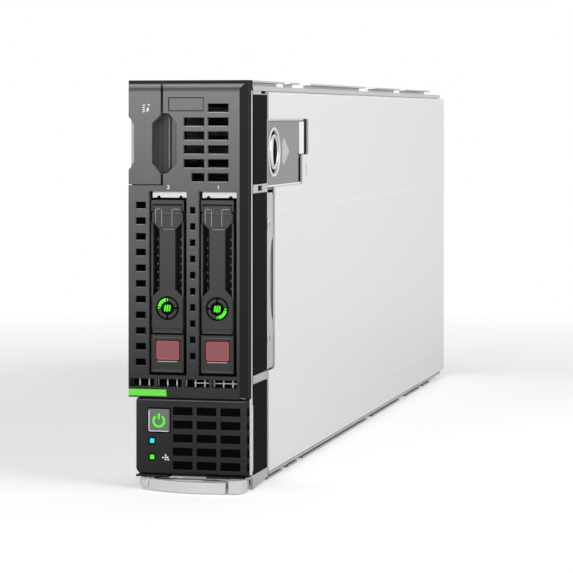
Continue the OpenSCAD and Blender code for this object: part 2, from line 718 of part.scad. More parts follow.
// ---- front service parts ----
module front_io_board() color(board_green) set_back() {
  span([power_mid.x - 6.2, 12, low_vent_z[0]], [low_vent_x[0] - 1.4, 13.2, 38.6]);
  // push switch behind the power button
  span([power_mid.x - 3, 9.8, power_mid.y - 3], [power_mid.x + 3, 12 + eps, power_mid.y + 3]);
  // cable header on its back
  span([power_mid.x - 4, 13.2 - eps, 12], [power_mid.x + 2, 17, 24]);
}

module lamp(z) {
  span([lamp_x, panel_setback + 0.1, z - 1], [lamp_x + 2, 12, z + 1]);
  span([lamp_x - 0.6, panel_setback + bezel_wall + 0.1, z - 1.5], [lamp_x + 2.6, 5.4, z + 1.5]);
}
module uid_light() color([0.1, 0.75, 0.9]) set_back() lamp(lamp_z[1]);
module link_light() color(lamp_green) set_back() lamp(lamp_z[0]);

module service_port() color(connector_black) set_back() {
  z0 = card_lo - 1;
  z1 = card_hi - 3;
  difference() {
    span([board_out, 10, z0], [board_out + 6.6, 27, z1]);
    frontal(10 - cut, 18) polygon([
      [board_out + 1.5, z0 + 2], [board_out + 5.1, z0 + 3.2],
      [board_out + 5.1, z1 - 3.2], [board_out + 1.5, z1 - 2]]);
  }
  span([board_out + 2.8, 12, z0 + 3.6], [board_out + 3.8, 18 + eps, z1 - 3.6]);
}

// ---- system board ----
module system_board() color(board_green) set_back()
  difference() {
    lateral(board_in, board_out) difference() {
      rect([board_front, board_lo], [board_back, board_hi]);
      rect([board_back - 6, board_hi - 24], [board_back + cut, board_hi + cut]);
    }
    for (p = sink_screw_at) bar_x(board_in - cut, board_out + cut, p.x, p.y, 2.1);
  }

cpu_mid = [for (y = sink_front) y + sink_l / 2];
sink_screw_at = [for (y = cpu_mid, dy = [-1, 1], dz = [-1, 1]) [y + dy * 38, sink_mid + dz * 29]];

module cpu_sockets() color([0.62, 0.6, 0.55]) set_back()
  for (y = cpu_mid) {
    // frame with its load plate and the processor's lid in it
    difference() {
      span([board_out, y - 38 + 6, sink_mid - 29], [board_out + socket_t, y + 38 - 6, sink_mid + 29]);
      span([board_out + 1.5, y - 24, sink_mid - 21], [board_out + socket_t + cut, y + 24, sink_mid + 21]);
    }
    span([board_out + 1.5, y - 22.5, sink_mid - 19.5], [board_out + 4.4, y + 22.5, sink_mid + 19.5]);
    span([board_out + 4.4 - eps, y - 17, sink_mid - 15], [sink_x - 0.1, y + 17, sink_mid + 15]);
    // load lever
    bar_z(board_out + socket_t + 0.2, y - 30, sink_mid - 27, sink_mid + 27, 0.8);
  }

module heatsink(y0) {
  z0 = sink_mid - sink_w / 2;
  fin_t = 0.6;
  step = (sink_w - fin_t) / (fin_count - 1);
  difference() {
    union() {
      span([sink_x, y0, z0], [sink_x + sink_base, y0 + sink_l, z0 + sink_w]);
      for (i = [0 : fin_count - 1])
        span([sink_x + sink_base - eps, y0 + 1, z0 + i * step],
             [sink_x + sink_base + fin_h, y0 + sink_l - 1, z0 + i * step + fin_t]);
    }
    // wells for the four captive screws
    for (dy = [-1, 1], dz = [-1, 1]) {
      p = [y0 + sink_l / 2 + dy * 38, sink_mid + dz * 29];
      bar_x(sink_x - cut, sink_x + sink_base + cut, p.x, p.y, 2.2);
      bar_x(sink_x + sink_base, sink_x + sink_base + fin_h + cut, p.x, p.y, 5.2);
    }
  }
}
module heatsink_front() color(aluminium) set_back() heatsink(sink_front[0]);
module heatsink_rear() color(aluminium) set_back() heatsink(sink_front[1]);

module heatsink_screws() color(silver) set_back()
  for (p = sink_screw_at) {
    bar_x(board_in - 0.6, sink_x + sink_base + 6, p.x, p.y, 1.9);
    difference() {
      bar_x(sink_x + sink_base + 5, sink_x + sink_base + 9, p.x, p.y, 3.6);
      bar_x(sink_x + sink_base + 7.4, sink_x + sink_base + 10, p.x, p.y, 1.5);
    }
    // spring under the head
    difference() {
      bar_x(sink_x + sink_base + 0.05, sink_x + sink_base + 5 + eps, p.x, p.y, 3.1);
      for (i = [0 : 2])
        bar_x(sink_x + sink_base + 0.7 + i * 1.5, sink_x + sink_base + 1.4 + i * 1.5, p.x, p.y, 3.2);
    }
  }

// ---- memory ----
module dimm_socket(y0, z) {
  difference() {
    union() {
      span([board_out, y0 + dimm_end, z - dimm_w / 2], [board_out + dimm_socket_h, y0 + bank_l - dimm_end, z + dimm_w / 2]);
      for (y = [y0, y0 + bank_l - dimm_end], side = [-1, 1])
        span([board_out, y, z + side * (dimm_w / 2 - 0.45) - 0.45], [board_out + 6, y + dimm_end, z + side * (dimm_w / 2 - 0.45) + 0.45]);
      for (y = [y0, y0 + bank_l - dimm_end])
        span([board_out, y, z - dimm_w / 2], [board_out + 0.8, y + dimm_end, z + dimm_w / 2]);
    }
    span([board_out + dimm_seat, y0 + dimm_end - 0.2, z - 0.85], [board_out + dimm_socket_h + cut, y0 + bank_l - dimm_end + 0.2, z + 0.85]);
    for (y = [y0 + 2.2, y0 + bank_l - 2.2])
      bar_z(dimm_pivot_x, y, z - dimm_w, z + dimm_w, 0.8 + running);
  }
}
module dimm_sockets() color(connector_black) set_back()
  for (y = bank_front, z = dimm_z) dimm_socket(y, z);

module memory_module(y0, z) {
  x0 = board_out + dimm_seat + 0.1;
  y1 = y0 + dimm_end + 0.15;
  l = dimm_l - 0.3;
  chip_pitch = (l - 19.45) / 8;
  notch = [board_out + dimm_latch_h - 3.4, board_out + dimm_latch_h - 0.2];
  difference() {
    union() {
      span([x0, y1, z - 0.7], [x0 + dimm_h, y1 + l, z + 0.7]);
      for (i = [0 : 8], side = [-1, 1])
        span([board_out + dimm_socket_h + 5, y1 + 4 + i * chip_pitch, z + side * 1.1 - 0.6],
             [board_out + dimm_socket_h + 5 + min(11, dimm_h - 12), y1 + 13 + i * chip_pitch, z + side * 1.1 + 0.6]);
    }
    for (y = [y1 - cut, y1 + l - 2])
      span([notch[0], y, z - cut], [notch[1], y + 2 + cut, z + cut]);
  }
}
module memory_modules() color([0.06, 0.3, 0.15]) set_back()
  for (y = bank_front, z = dimm_z) memory_module(y, z);

// one row of latches: those at the same end of the upper and lower banks share one hinge line
module dimm_latch(y, dir, z) {
  // dir points away from the memory module
  x0 = dimm_pivot_x;
  top_x = board_out + dimm_latch_h;
  half = dimm_w / 2 - 0.9 - 0.2;
  upright(z - half, z + half)
    polygon([
      [x0 - 1.4, y - dir * 1.2], [x0 - 1.4, y + dir * 1.2], [x0 + 2, y + dir * 1.9], [top_x - 4, y + dir * 1.9],
      [top_x + 0.5, y + dir * 4.6], [top_x + 1.6, y + dir * 3.8], [top_x + 0.6, y + dir * 0.6],
      [top_x - 0.9, y - dir * 3.2], [top_x - 2.7, y - dir * 3.2], [top_x - 3, y - dir * 1.9],
      [x0 + 4.8, y - dir * 1.9], [x0 + 3.4, y - dir * 1.9]]);
  bar_z(x0, y, z - dimm_w / 2 + 0.1, z + dimm_w / 2 - 0.1, 0.8);
}
module dimm_latch_row(bank, end) {
  y = end < 0 ? bank_front[bank] + 2.2 : bank_front[bank] + bank_l - 2.2;
  for (z = dimm_z) dimm_latch(y, end, z);
}
latch_colour = [0.85, 0.85, 0.82];
module dimm_latches_1() color(latch_colour) set_back() dimm_latch_row(0, -1);
module dimm_latches_2() color(latch_colour) set_back() dimm_latch_row(0, 1);
module dimm_latches_3() color(latch_colour) set_back() dimm_latch_row(1, -1);
module dimm_latches_4() color(latch_colour) set_back() dimm_latch_row(1, 1);

// ---- small board parts ----
module power_chokes() color([0.25, 0.25, 0.27]) set_back()
  for (y = [for (s = sink_front) s + sink_l + 5], i = [0 : 6])
    difference() {
      span([board_out, y, sink_mid - 34 + i * 10], [board_out + 6, y + 7.5, sink_mid - 26.5 + i * 10]);
      for (dz = [0, 5.5])
        span([board_out - cut, y - cut, sink_mid - 34 + i * 10 + dz], [board_out + 1, y + 8.5, sink_mid - 32 + i * 10 + dz]);
    }

module capacitors() color(silver) set_back()
  for (y = [sink_front[0] + sink_l + 18, sink_front[1] - 7], i = [0 : 5]) {
    z = sink_mid - 30 + i * 12;
    bar_x(board_out, board_out + 1, y, z, 3.6);
    bar_x(board_out + 1 - eps, board_out + 8, y, z, 3.2);
  }

module chipset_heatsink() color(aluminium) set_back() {
  y0 = sink_front[1] + sink_l + 17;
  z0 = sink_mid - 38;
  span([board_out, y0 + 2, z0 + 2], [board_out + 2.2, y0 + 24, z0 + 28]);
  span([board_out + 2.2 - eps, y0, z0], [board_out + 4.2, y0 + 26, z0 + 30]);
  for (i = [0 : 9])
    span([board_out + 4.2 - eps, y0, z0 + 0.4 + i * 3.15], [board_out + 12, y0 + 26, z0 + 1.2 + i * 3.15]);
}

module coin_cell() color(silver) set_back() {
  y = sink_front[1] + sink_l + 30;
  z = sink_mid + 20;
  difference() {
    bar_x(board_out, board_out + 3.6, y, z, 12);
    bar_x(board_out + 1, board_out + 4.6, y, z, 10.2);
    span([board_out + 1, y - 4, z - 14], [board_out + 5, y + 4, z - 9]);
  }
  bar_x(board_out + 1 - eps, board_out + 4.2, y, z, 10);
}

module daughter_card(z0) {
  x0 = board_out + card_stack;
  span([x0, card_front, z0], [x0 + 1.6, card_front + card_l, z0 + card_w]);
  // controller chip and its cooler
  span([x0 + 1.6 - eps, card_front + 23, z0 + 12], [x0 + 3.4, card_front + 47, z0 + 36]);
  span([x0 + 3.4 - eps, card_front + 22, z0 + 11], [x0 + 5, card_front + 48, z0 + 37]);
  for (i = [0 : 7])
    span([x0 + 5 - eps, card_front + 22, z0 + 11 + i * 3.57], [x0 + 11, card_front + 48, z0 + 12 + i * 3.57]);
  // small packages
  for (i = [0 : 3])
    span([x0 + 1.6 - eps, card_front + 5 + i * 4, z0 + 6 + i * 9], [x0 + 2.8, card_front + 11 + i * 3, z0 + 12 + i * 9]);
  // pillars with thumbscrews
  for (y = [card_front + 4, card_front + card_l - 5], z = [z0 + 4, z0 + card_w - 4])
    bar_x(board_out, x0 + eps, y, z, 2.4);
  for (y = [card_front + 4, card_front + card_l - 5], z = [z0 + 4, z0 + card_w - 4])
    difference() {
      bar_x(x0 + 1.6 - eps, x0 + 4.4, y, z, 3);
      span([x0 + 3.6, y - 0.4, z - 3], [x0 + 5, y + 0.4, z + 3]);
    }
}
module mezzanine_card_1() color(board_green) set_back() daughter_card(card_z[0]);
module mezzanine_card_2() color(board_green) set_back() daughter_card(card_z[1]);
module network_card() color(board_green) set_back() daughter_card(card_z[2]);

// ---- back of the blade ----
module midplane_connector() color(connector_black) set_back() {
  modules = 5;
  step = (midplane_hi - midplane_lo) / modules;
  difference() {
    span([board_out, midplane_front, midplane_lo], [midplane_out, midplane_back, midplane_hi]);
    // mating faces, each around its wafers
    for (i = [0 : modules - 1])
      span([board_out + 2, midplane_back - 3.6, midplane_lo + i * step + 1.6],
           [midplane_out - 2, midplane_back + cut, midplane_lo + (i + 1) * step - 1.6]);
  }
  for (i = [0 : modules - 1], j = [0 : 5])
    span([board_out + 3.4, midplane_back - 3.6 - eps, midplane_lo + i * step + 2.9 + j * 2.9],
         [midplane_out - 3.4, midplane_back - 0.6, midplane_lo + i * step + 4.2 + j * 2.9]);
}

guide_x = board_out + 9;
guide_z = [midplane_lo - 6.5, midplane_hi + 6.5];
module guide_sockets() color(silver) set_back()
  for (z = guide_z)
    difference() {
      span([board_out, midplane_back - 22, z - 6], [board_out + 16, midplane_back, z + 6]);
      bar_y(guide_x, midplane_back - guide_depth, midplane_back + cut, z, guide_r);
    }

// ---- access panel ----
module hook(y, z, up) {
  // stem below the lip and a toe behind it
  span([lip_in - panel_gap - sheet, y, min(z - up * 1.4, z - up * 0.4)],
       [panel_in + eps, y + hook_l, max(z - up * 1.4, z - up * 0.4)]);
  span([lip_in - panel_gap - sheet, y, min(z - up * 1.4, z + up * 3)],
       [lip_in - panel_gap, y + hook_l, max(z - up * 1.4, z + up * 3)]);
}
module access_panel() color([0.86, 0.86, 0.87]) set_back() {
  difference() {
    lateral(panel_in, right)
      polygon(concat(
        [[panel_front, panel_hi], [panel_front, deck_hi]],
        arc([deck_back_high - 1.6, deck_hi - 1.6], 1.6, 90, 0, 4),
        arc([deck_back_high - 1, deck_step + 2], 1, 0, -90, 3),
        arc([deck_back_low + 1.2, deck_step - 0.2], 1.2, 90, 180, 3),
        arc([deck_back_low - 1.2, deck_lo + 1.2], 1.2, 0, -90, 3),
        [[window_front, deck_lo]],
        arc([window_front - 1.6, window_lo + 1.6], 1.6, 0, -90, 3),
        [[panel_front, window_lo], [panel_front, panel_lo], [back - 2, panel_lo], [back, panel_lo + 1.5],
         [back, panel_hi - 1.5], [back - 1.5, panel_hi]]));
    // dimple of the locating boss
    bar_x(right - 0.4, right + cut, deck_back_low + 7.4, 139, 2.9);
  }
  for (y = hook_y) {
    hook(y, case_hi - lip_h, 1);
    hook(y, case_lo + lip_h, -1);
  }
}

module panel_release() color(silver) set_back() {
  x0 = deck_x - 1.2;
  difference() {
    union() {
      bar_x(x0, deck_x + sheet + 0.5, release_at.x, release_at.y, release_r);
      bar_x(x0 - 1.2, x0 + eps, release_at.x, release_at.y, release_r + 1.6);
    }
    // dished face
    translate([deck_x + sheet + 0.5 + 22.6, release_at.x, release_at.y]) sphere(r = 23.6, $fn = 96);
  }
}

// ---- release lever ----
grip_mid = [8 - 27.7 + right, grip_r - grip_proud];
grip_left = pivot.x - 3.2;
grip_right = right - 8.3;
module lever_housing() color(silver) set_back() {
  difference() {
    union() {
      span([panel_left + 0.2, 0.4, housing_lo], [right - 0.3, panel_front, housing_hi]);
      span([panel_left + 0.2, panel_front - sheet, case_lo], [lip_in, panel_front, housing_hi]);
    }
    span([pivot.x + 9, -cut, housing_lo - cut], [pivot.x + 26, 5.4, housing_hi + cut]);
    span([panel_in - panel_gap, panel_front - panel_edge_gap, 0], [right, panel_front + cut, housing_hi + cut]);
  }
  lateral(right - 1.3, right - 0.3)
    polygon([[7.4, housing_hi], [7.4, 0], [9, 0], [35.6, 1.9], [35.6, case_lo + 1.2], [34.5, housing_hi]]);
  lateral(panel_left + 0.2, panel_left + 1.2)
    polygon([[18, housing_hi], [18, 0.7], [panel_front, 1.9], [panel_front, housing_hi]]);
}

module lever_pin() color(silver) set_back() {
  bar_z(pivot.x, pivot.y, 0.9, housing_lo, pivot_r);
  bar_z(pivot.x, pivot.y, 0.5, lever_plate_lo - 0.1, pivot_r + 1.4);
}

// outline of the lever's plate: the eye around the pin and the arm that carries the grip
module lever_outline() {
  translate(pivot) circle(5);
  polygon([
    [pivot.x - 2.6, -2.4], [pivot.x, pivot.y + 4.6], [pivot.x + 9, 5.6], [pivot.x + 30, 4.4],
    [grip_right - 0.4, 0.8], [grip_right - 0.4, -5.6], [grip_mid.x, -8.6], [pivot.x + 12, -7.2],
    [pivot.x + 4, -5]]);
}
module lever_plate() color([0.45, 0.45, 0.46]) set_back()
  upright(lever_plate_lo, lever_plate_hi)
    difference() {
      union() {
        lever_outline();
        // claw that levers against the enclosure
        translate(pivot) rotate(118) polygon([[2, -3.4], [8, -2.4], [10.6, -4], [11, 0.4], [8, 2.6], [2, 4]]);
      }
      translate(pivot) circle(pivot_r + running);
      // finger opening behind the grip
      round_rect([pivot.x + 11, -5.4], [pivot.x + 25, 1], 1.2);
    }

module lever_grip() color(silver) set_back() {
  difference() {
    upright(lever_lo, lever_lo + grip_h)
      difference() {
        intersection() {
          translate(grip_mid) circle(grip_r, $fn = 180);
          rect([grip_left, -grip_proud - cut], [grip_right, 0]);
        }
        translate(grip_mid) circle(grip_r - grip_t, $fn = 180);
      }
    // slot that the lever's plate is pressed into
    upright(lever_plate_lo, lever_plate_hi) lever_outline();
  }
}

module lever_button() color(silver) set_back() {
  x0 = grip_right + 0.9;
  cap_back = 0.4 - lever_button_travel - button_gap;
  // cap that wraps the corner; its tall part stays in front of the housing when it is pressed
  for (part = [[lever_lo + 0.1, housing_lo - 0.2, -1.4], [housing_lo - 0.2 - eps, housing_hi - 0.2, cap_back]])
    upright(part[0], part[1])
      intersection() {
        polygon(concat(
          [[x0, -1.4], [x0, -8.2]], arc([x0 + 1.4, -8.2], 1.4, 180, 270, 5),
          arc([x0 + 2.6, -6.2], 3.4, -90, -20, 6), [[right - 0.5, -3], [right - 0.5, -1.4]]));
        rect([x0, -grip_proud], [right, part[2]]);
      }
  // stem that runs back under the housing
  span([x0 + 1, -3, lever_lo + 1.4], [right - 2, 14, housing_lo - 0.6]);
}

// ---- service tab ----
module service_tab() color(dark_plastic) set_back() {
  difference() {
    union() {
      difference() {
        intersection() {
          upright(tab_lo, blade_h) rect([left, 0], [tab_right, bezel_depth - 0.3]);
          upright(tab_lo, blade_h)
            polygon(concat([[left, bezel_depth]], arc([left + 0.8, 0.8], 0.8, 180, 270, 3),
                           [[tab_right, 0], [tab_right, bezel_depth]]));
          lateral(left - cut, right) bezel_side(0, tab_lo, blade_h);
        }
        span([left + bezel_wall + 1.4, bezel_wall, tab_lo + bezel_wall],
             [tab_right - bezel_wall, bezel_depth + cut, blade_h - bezel_wall]);
      }
      intersection() {
        scoop(1.2);
        span([left, 0, tab_lo], [tab_right, bezel_depth + 3, blade_h]);
      }
      // jaws that hold the card, above the scoop
      span([card_x - 1.2, bezel_wall - eps, grip_hi + 1], [card_x + card_t + 0.6, scoop_depth + 5, card_hi - 1.4]);
    }
    scoop();
    // finger notch in the outer edge
    frontal(-cut, bezel_depth + cut)
      polygon([
        [left - cut, grip_lo + 1], [left, grip_lo + 1.4], [left + 1.5, grip_lo + 2.9],
        [left + 1.5, grip_hi - 2.9], [left, grip_hi - 1.4], [left - cut, grip_hi - 1]]);
    span([card_x, scoop_depth + 1.2, card_lo - cut], [card_x + card_t, scoop_depth + 6, card_hi + cut]);
  }
}

module tab_card() color([0.8, 0.8, 0.78]) set_back()
  lateral(card_x, card_x + card_t)
    round_rect([scoop_depth + 1.2, card_lo], [card_back, card_hi], 1);

module power_button() color(silver) set_back() {
  y0 = 0.8;
  frontal(y0, bezel_depth - 1.6) translate(power_mid) square([power_w, power_h], center = true);
  frontal(panel_setback + bezel_wall + 0.1, bezel_depth - 1.6)
    translate(power_mid) square([power_w + 1.2, power_h + 1.2], center = true);
  bar_y(power_mid.x, bezel_depth - 1.6 - eps, 9.8 - power_travel - 0.2, power_mid.y, 1.6);
}

// ---- drives ----
// outline of a latch: two broad ends and a slim bar, with slanted shoulders
latch_bar_lo = ring_z + 8.4;
latch_bar_hi = shoulder_z - 7.4;
module latch_outline(x, grow = 0) {
  h = latch_half + grow;
  b = bar_half + grow;
  polygon([
    [x - h, latch_lo - grow], [x - h, latch_bar_lo - latch_half + bar_half + grow * 0.4],
    [x - b, latch_bar_lo + grow * 0.4], [x - b, latch_bar_hi - grow * 0.4],
    [x - h, latch_bar_hi + latch_half - bar_half - grow * 0.4], [x - h, shoulder_z + grow],
    [x + h, shoulder_z + grow], [x + h, latch_bar_hi + latch_half - bar_half - grow * 0.4],
    [x + b, latch_bar_hi - grow * 0.4], [x + b, latch_bar_lo + grow * 0.4],
    [x + h, latch_bar_lo - latch_half + bar_half + grow * 0.4], [x + h, latch_lo - grow]]);
}

module drive_carrier(x) {
  half = carrier_w / 2;
  trough_back = 8;
  front_back = 12;
  difference() {
    frontal(carrier_face, front_back) rect([x - half, carrier_lo], [x + half, carrier_hi]);
    // trough that the latch's bar and hinge lie in, and the shallow seat of its broad ends
    span([x - half + ear_t, carrier_face - cut, latch_lo - 0.5], [x + half - ear_t, trough_back, carrier_hi - top_lip]);
    frontal(carrier_face - cut, latch_y + latch_t + 0.3)
      intersection() {
        latch_outline(x, 0.3);
        rect([x - half - cut, carrier_lo], [x + half + cut, shoulder_z + 0.3]);
      }
    frontal(carrier_face - cut, latch_y + latch_t + 0.3)
      for (z = [[latch_lo - 0.5, latch_bar_lo - 3.2], [latch_bar_hi + 3.2, shoulder_z + 0.7]])
        rect([x - half - cut, z[0]], [x + half + cut, z[1]]);
    // hole of the eject button
    frontal(carrier_face - cut, front_back + cut)
      rect([x + 0.2 - eject_w / 2 - button_gap, eject_lo - button_gap],
           [x + 0.2 + eject_w / 2 + button_gap, eject_lo + eject_h + button_gap]);
    // air holes on both sides of the latch's bar
    frontal(trough_back - cut, front_back + cut)
      for (side = [-1, 1], i = [0 : 9])
        translate([x + side * 5.1, latch_bar_lo + 1.6 + i * 2.9]) circle(d = 2);
    bar_x(x - half - cut, x + half + cut, hinge_y, hinge_z, trunnion_r + running);
  }
  // rails that hold the disk by its edges
  for (z = [rail_lo, rail_hi - rail_t])
    span([x - 7.2, front_back - eps, z], [x + 7.2, disk_front + disk_l - 3, z + rail_t]);
}

module disk_drive(x) {
  half = disk_t / 2;
  y1 = disk_front + disk_l;
  difference() {
    union() {
      // cast base and the stamped lid on it
      lateral(x - half, x + half - 1.2) round_rect([disk_front, disk_lo], [y1, disk_hi], 2);
      lateral(x + half - 1.2 - eps, x + half)
        round_rect([disk_front + 1.2, disk_lo + 1.2], [y1 - 8, disk_hi - 1.2], 3);
    }
    bar_x(x + half - 0.5, x + half + cut, disk_front + 34, (disk_lo + disk_hi) / 2, 30);
    // step for the controller board
    span([x - half - cut, y1 - 38, disk_lo + 4], [x - half + 1.2, y1 - 4, disk_hi - 4]);
    // opening around the connector
    span([x - 2.6, y1 - 2.6, disk_lo + 9.4], [x + 1.9, y1 + cut, disk_lo + 11.2 + 2 * plug_half]);
  }
  bar_x(x + half - 0.5 - eps, x + half - 0.1, disk_front + 34, (disk_lo + disk_hi) / 2, 11);
  span([x - 0.6, y1 - 2.6 - eps, disk_lo + 10.4], [x + 0.6, y1 + 2.4, disk_lo + 10.2 + 2 * plug_half]);
}

module drive_latch(x) {
  h = latch_half;
  neck = carrier_w / 2 - ear_t - 0.25;
  difference() {
    union() {
      frontal(latch_y, latch_y + latch_t) latch_outline(x);
      frontal(latch_y, latch_y + latch_t) rect([x - neck, shoulder_z - eps], [x + neck, hinge_z]);
      // rib along the bar
      lateral(x - 1, x + 1)
        polygon([
          [latch_y + latch_t - eps, latch_lo + 2], [latch_y + latch_t - eps, shoulder_z],
          [latch_y + latch_t + 2.4, shoulder_z - 4], [latch_y + latch_t + 2.4, latch_lo + 4]]);
      bar_x(x - neck, x + neck, hinge_y, hinge_z, barrel_r);
      bar_x(x - carrier_w / 2 + 0.1, x + carrier_w / 2 - 0.1, hinge_y, hinge_z, trunnion_r);
    }
    // seat of the light ring
    bar_y(x, latch_y - cut, latch_y + 0.9, ring_z, ring_d / 2 + 0.05);
    // shallow field for the drive's label, and the slanted lower edge
    frontal(latch_y - cut, latch_y + 0.3)
      polygon([
        [x - h + 0.9, shoulder_z - 0.6], [x - h + 0.9, shoulder_z - 4.6], [x - bar_half + 0.4, shoulder_z - 7.4],
        [x + bar_half - 0.4, shoulder_z - 7.4], [x + h - 0.9, shoulder_z - 4.6], [x + h - 0.9, shoulder_z - 0.6]]);
    lateral(x - h - cut, x + h + cut)
      polygon([[latch_y - cut, latch_lo - cut], [latch_y - cut, latch_lo + 2.4], [latch_y, latch_lo + 2.4],
               [latch_y + 1.2, latch_lo - eps], [latch_y + 1.2, latch_lo - cut]]);
  }
}

module light_ring(x) {
  r = ring_d / 2;
  difference() {
    bar_y(x, latch_y + 0.05, latch_y + 0.9, ring_z, r);
    bar_y(x, latch_y - cut, latch_y + 0.5, ring_z, r * 0.58);
  }
  bar_y(x, latch_y + 0.15, latch_y + 0.9, ring_z, r * 0.46);
}

module eject_button(x) {
  x0 = x + 0.2;
  frontal(0.7, 7.6) round_rect([x0 - eject_w / 2, eject_lo], [x0 + eject_w / 2, eject_lo + eject_h], 0.5);
}

drive_x = [for (x = bay_mid) x + drive_shift];
module drive_carrier_1() color(dark_plastic) set_back() drive_carrier(drive_x[0]);
module drive_carrier_2() color(dark_plastic) set_back() drive_carrier(drive_x[1]);
module disk_drive_1() color(silver) set_back() disk_drive(drive_x[0]);
module disk_drive_2() color(silver) set_back() disk_drive(drive_x[1]);
module drive_latch_1() color([0.3, 0.3, 0.31]) set_back() drive_latch(drive_x[0]);
module drive_latch_2() color([0.3, 0.3, 0.31]) set_back() drive_latch(drive_x[1]);
module light_ring_1() color(lamp_green) set_back() light_ring(drive_x[0]);
module light_ring_2() color(lamp_green) set_back() light_ring(drive_x[1]);
module eject_button_1() color([0.6, 0.25, 0.27]) set_back() eject_button(drive_x[0]);
module eject_button_2() color([0.6, 0.25, 0.27]) set_back() eject_button(drive_x[1]);

chassis();
rear_grille();
guide_rails();
front_plate();
front_bezel();
power_panel();
accent_strip();
front_mesh();
side_frame();
side_strips();
latch_deck();
side_screws();
drive_cage();
bay_guides();
drive_backplane();
board_connectors();
lever_housing();
lever_pin();
front_io_board();
uid_light();
link_light();
service_port();
system_board();
cpu_sockets();
heatsink_front();
heatsink_rear();
heatsink_screws();
dimm_sockets();
memory_modules();
power_chokes();
capacitors();
chipset_heatsink();
coin_cell();
mezzanine_card_1();
mezzanine_card_2();
network_card();
midplane_connector();
guide_sockets();
access_panel();
panel_release();
lever_plate();
lever_grip();
lever_button();
service_tab();
tab_card();
power_button();
drive_carrier_1();
disk_drive_1();
drive_latch_1();
light_ring_1();
eject_button_1();
drive_carrier_2();
disk_drive_2();
drive_latch_2();
light_ring_2();
eject_button_2();
dimm_latches_1();
dimm_latches_2();
dimm_latches_3();
dimm_latches_4();
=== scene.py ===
import math

import bpy
import numpy as np
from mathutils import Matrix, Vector


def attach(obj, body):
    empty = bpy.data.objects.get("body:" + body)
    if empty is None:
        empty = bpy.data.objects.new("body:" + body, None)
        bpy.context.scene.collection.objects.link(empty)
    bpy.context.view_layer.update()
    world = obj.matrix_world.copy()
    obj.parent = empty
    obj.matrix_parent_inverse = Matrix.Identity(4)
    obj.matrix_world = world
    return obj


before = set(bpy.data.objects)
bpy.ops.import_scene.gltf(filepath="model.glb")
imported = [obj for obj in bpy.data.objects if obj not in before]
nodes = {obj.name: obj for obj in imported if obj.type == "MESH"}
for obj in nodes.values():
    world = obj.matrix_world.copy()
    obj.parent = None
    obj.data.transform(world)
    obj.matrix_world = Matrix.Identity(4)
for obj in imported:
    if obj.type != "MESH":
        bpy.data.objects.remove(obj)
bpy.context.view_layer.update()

mm = 0.001
print("frame loaded with", len(nodes), "nodes")


# surfaces worked out on grids

def gridFaces(rows, cols, wrapRows=False, wrapCols=False, first=0):
    # quads between neighbouring rows and columns; a wrapped direction joins its last line to its first
    i, j = np.meshgrid(np.arange(rows if wrapRows else rows - 1),
                       np.arange(cols if wrapCols else cols - 1), indexing="ij")
    i2, j2 = (i + 1) % rows, (j + 1) % cols
    return np.stack([i * cols + j, i2 * cols + j, i2 * cols + j2, i * cols + j2], -1).reshape(-1, 4) + first


def joined(parts):
    # several (points, faces) pairs as one pair
    points, faces, count = [], [], 0
    for p, f in parts:
        points.append(p)
        faces += [[int(k) + count for k in face] for face in f]
        count += len(p)
    return np.concatenate(points), faces


def addPiece(name, parts, material, body, smooth=True):
    # puts joined surfaces into a mesh whose object sits at the origin, and lets it ride on a body
    points, faces = joined(parts)
    mesh = bpy.data.meshes.new(name)
    mesh.from_pydata(points.tolist(), [], faces)
    mesh.validate()
    mesh.update()
    mesh.polygons.foreach_set("use_smooth", np.full(len(mesh.polygons), smooth))
    mesh.materials.append(material)
    piece = bpy.data.objects.new(name, mesh)
    bpy.context.scene.collection.objects.link(piece)
    if smooth:
        crease = piece.modifiers.new("creases", "EDGE_SPLIT")
        crease.split_angle = math.radians(40)
    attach(piece, body)
    return piece


def outlineNormals(outline):
    # unit normals of a closed outline that runs anticlockwise, pointing outwards
    step = np.roll(outline, -1, 0) - np.roll(outline, 1, 0)
    step /= np.maximum(np.linalg.norm(step, axis=1, keepdims=True), 1e-12)
    return np.stack([step[:, 1], -step[:, 0]], -1)


def plate(outline, height, edge, place, base=0.0):
    # flat plate with a rounded edge: the outline is lifted, then drawn in along a quarter circle, and capped
    normal = outlineNormals(outline)
    angle = np.linspace(0, math.pi / 2, 4)
    inset = edge * (1 - np.cos(angle))
    lift = base + height - edge + edge * np.sin(angle)
    rings = [np.column_stack([outline, np.full(len(outline), base)])]
    rings += [np.column_stack([outline - normal * a, np.full(len(outline), b)]) for a, b in zip(inset, lift)]
    count = len(outline)
    points = place(np.concatenate(rings))
    faces = gridFaces(len(rings), count, wrapCols=True)[:, ::-1].tolist()
    faces.append(list(range((len(rings) - 1) * count, len(rings) * count)))
    faces.append(list(range(count))[::-1])
    return points, faces


def roundedBox(width, height, radius, centre=(0, 0), steps=5):
    # rectangle whose corners are quarter circles, anticlockwise
    angle = np.linspace(0, math.pi / 2, steps)
    corners = []
    for turn, (sx, sy) in enumerate([(1, 1), (-1, 1), (-1, -1), (1, -1)]):
        a = angle + turn * math.pi / 2
        corners.append(np.column_stack([sx * (width / 2 - radius) + radius * np.cos(a),
                                        sy * (height / 2 - radius) + radius * np.sin(a)]))
    return np.concatenate(corners) + np.array(centre)


def arcPath(centre, radius, startDeg, endDeg, steps=28):
    a = np.radians(np.linspace(startDeg, endDeg, steps))
    return np.column_stack([centre[0] + radius * np.cos(a), centre[1] + radius * np.sin(a)])


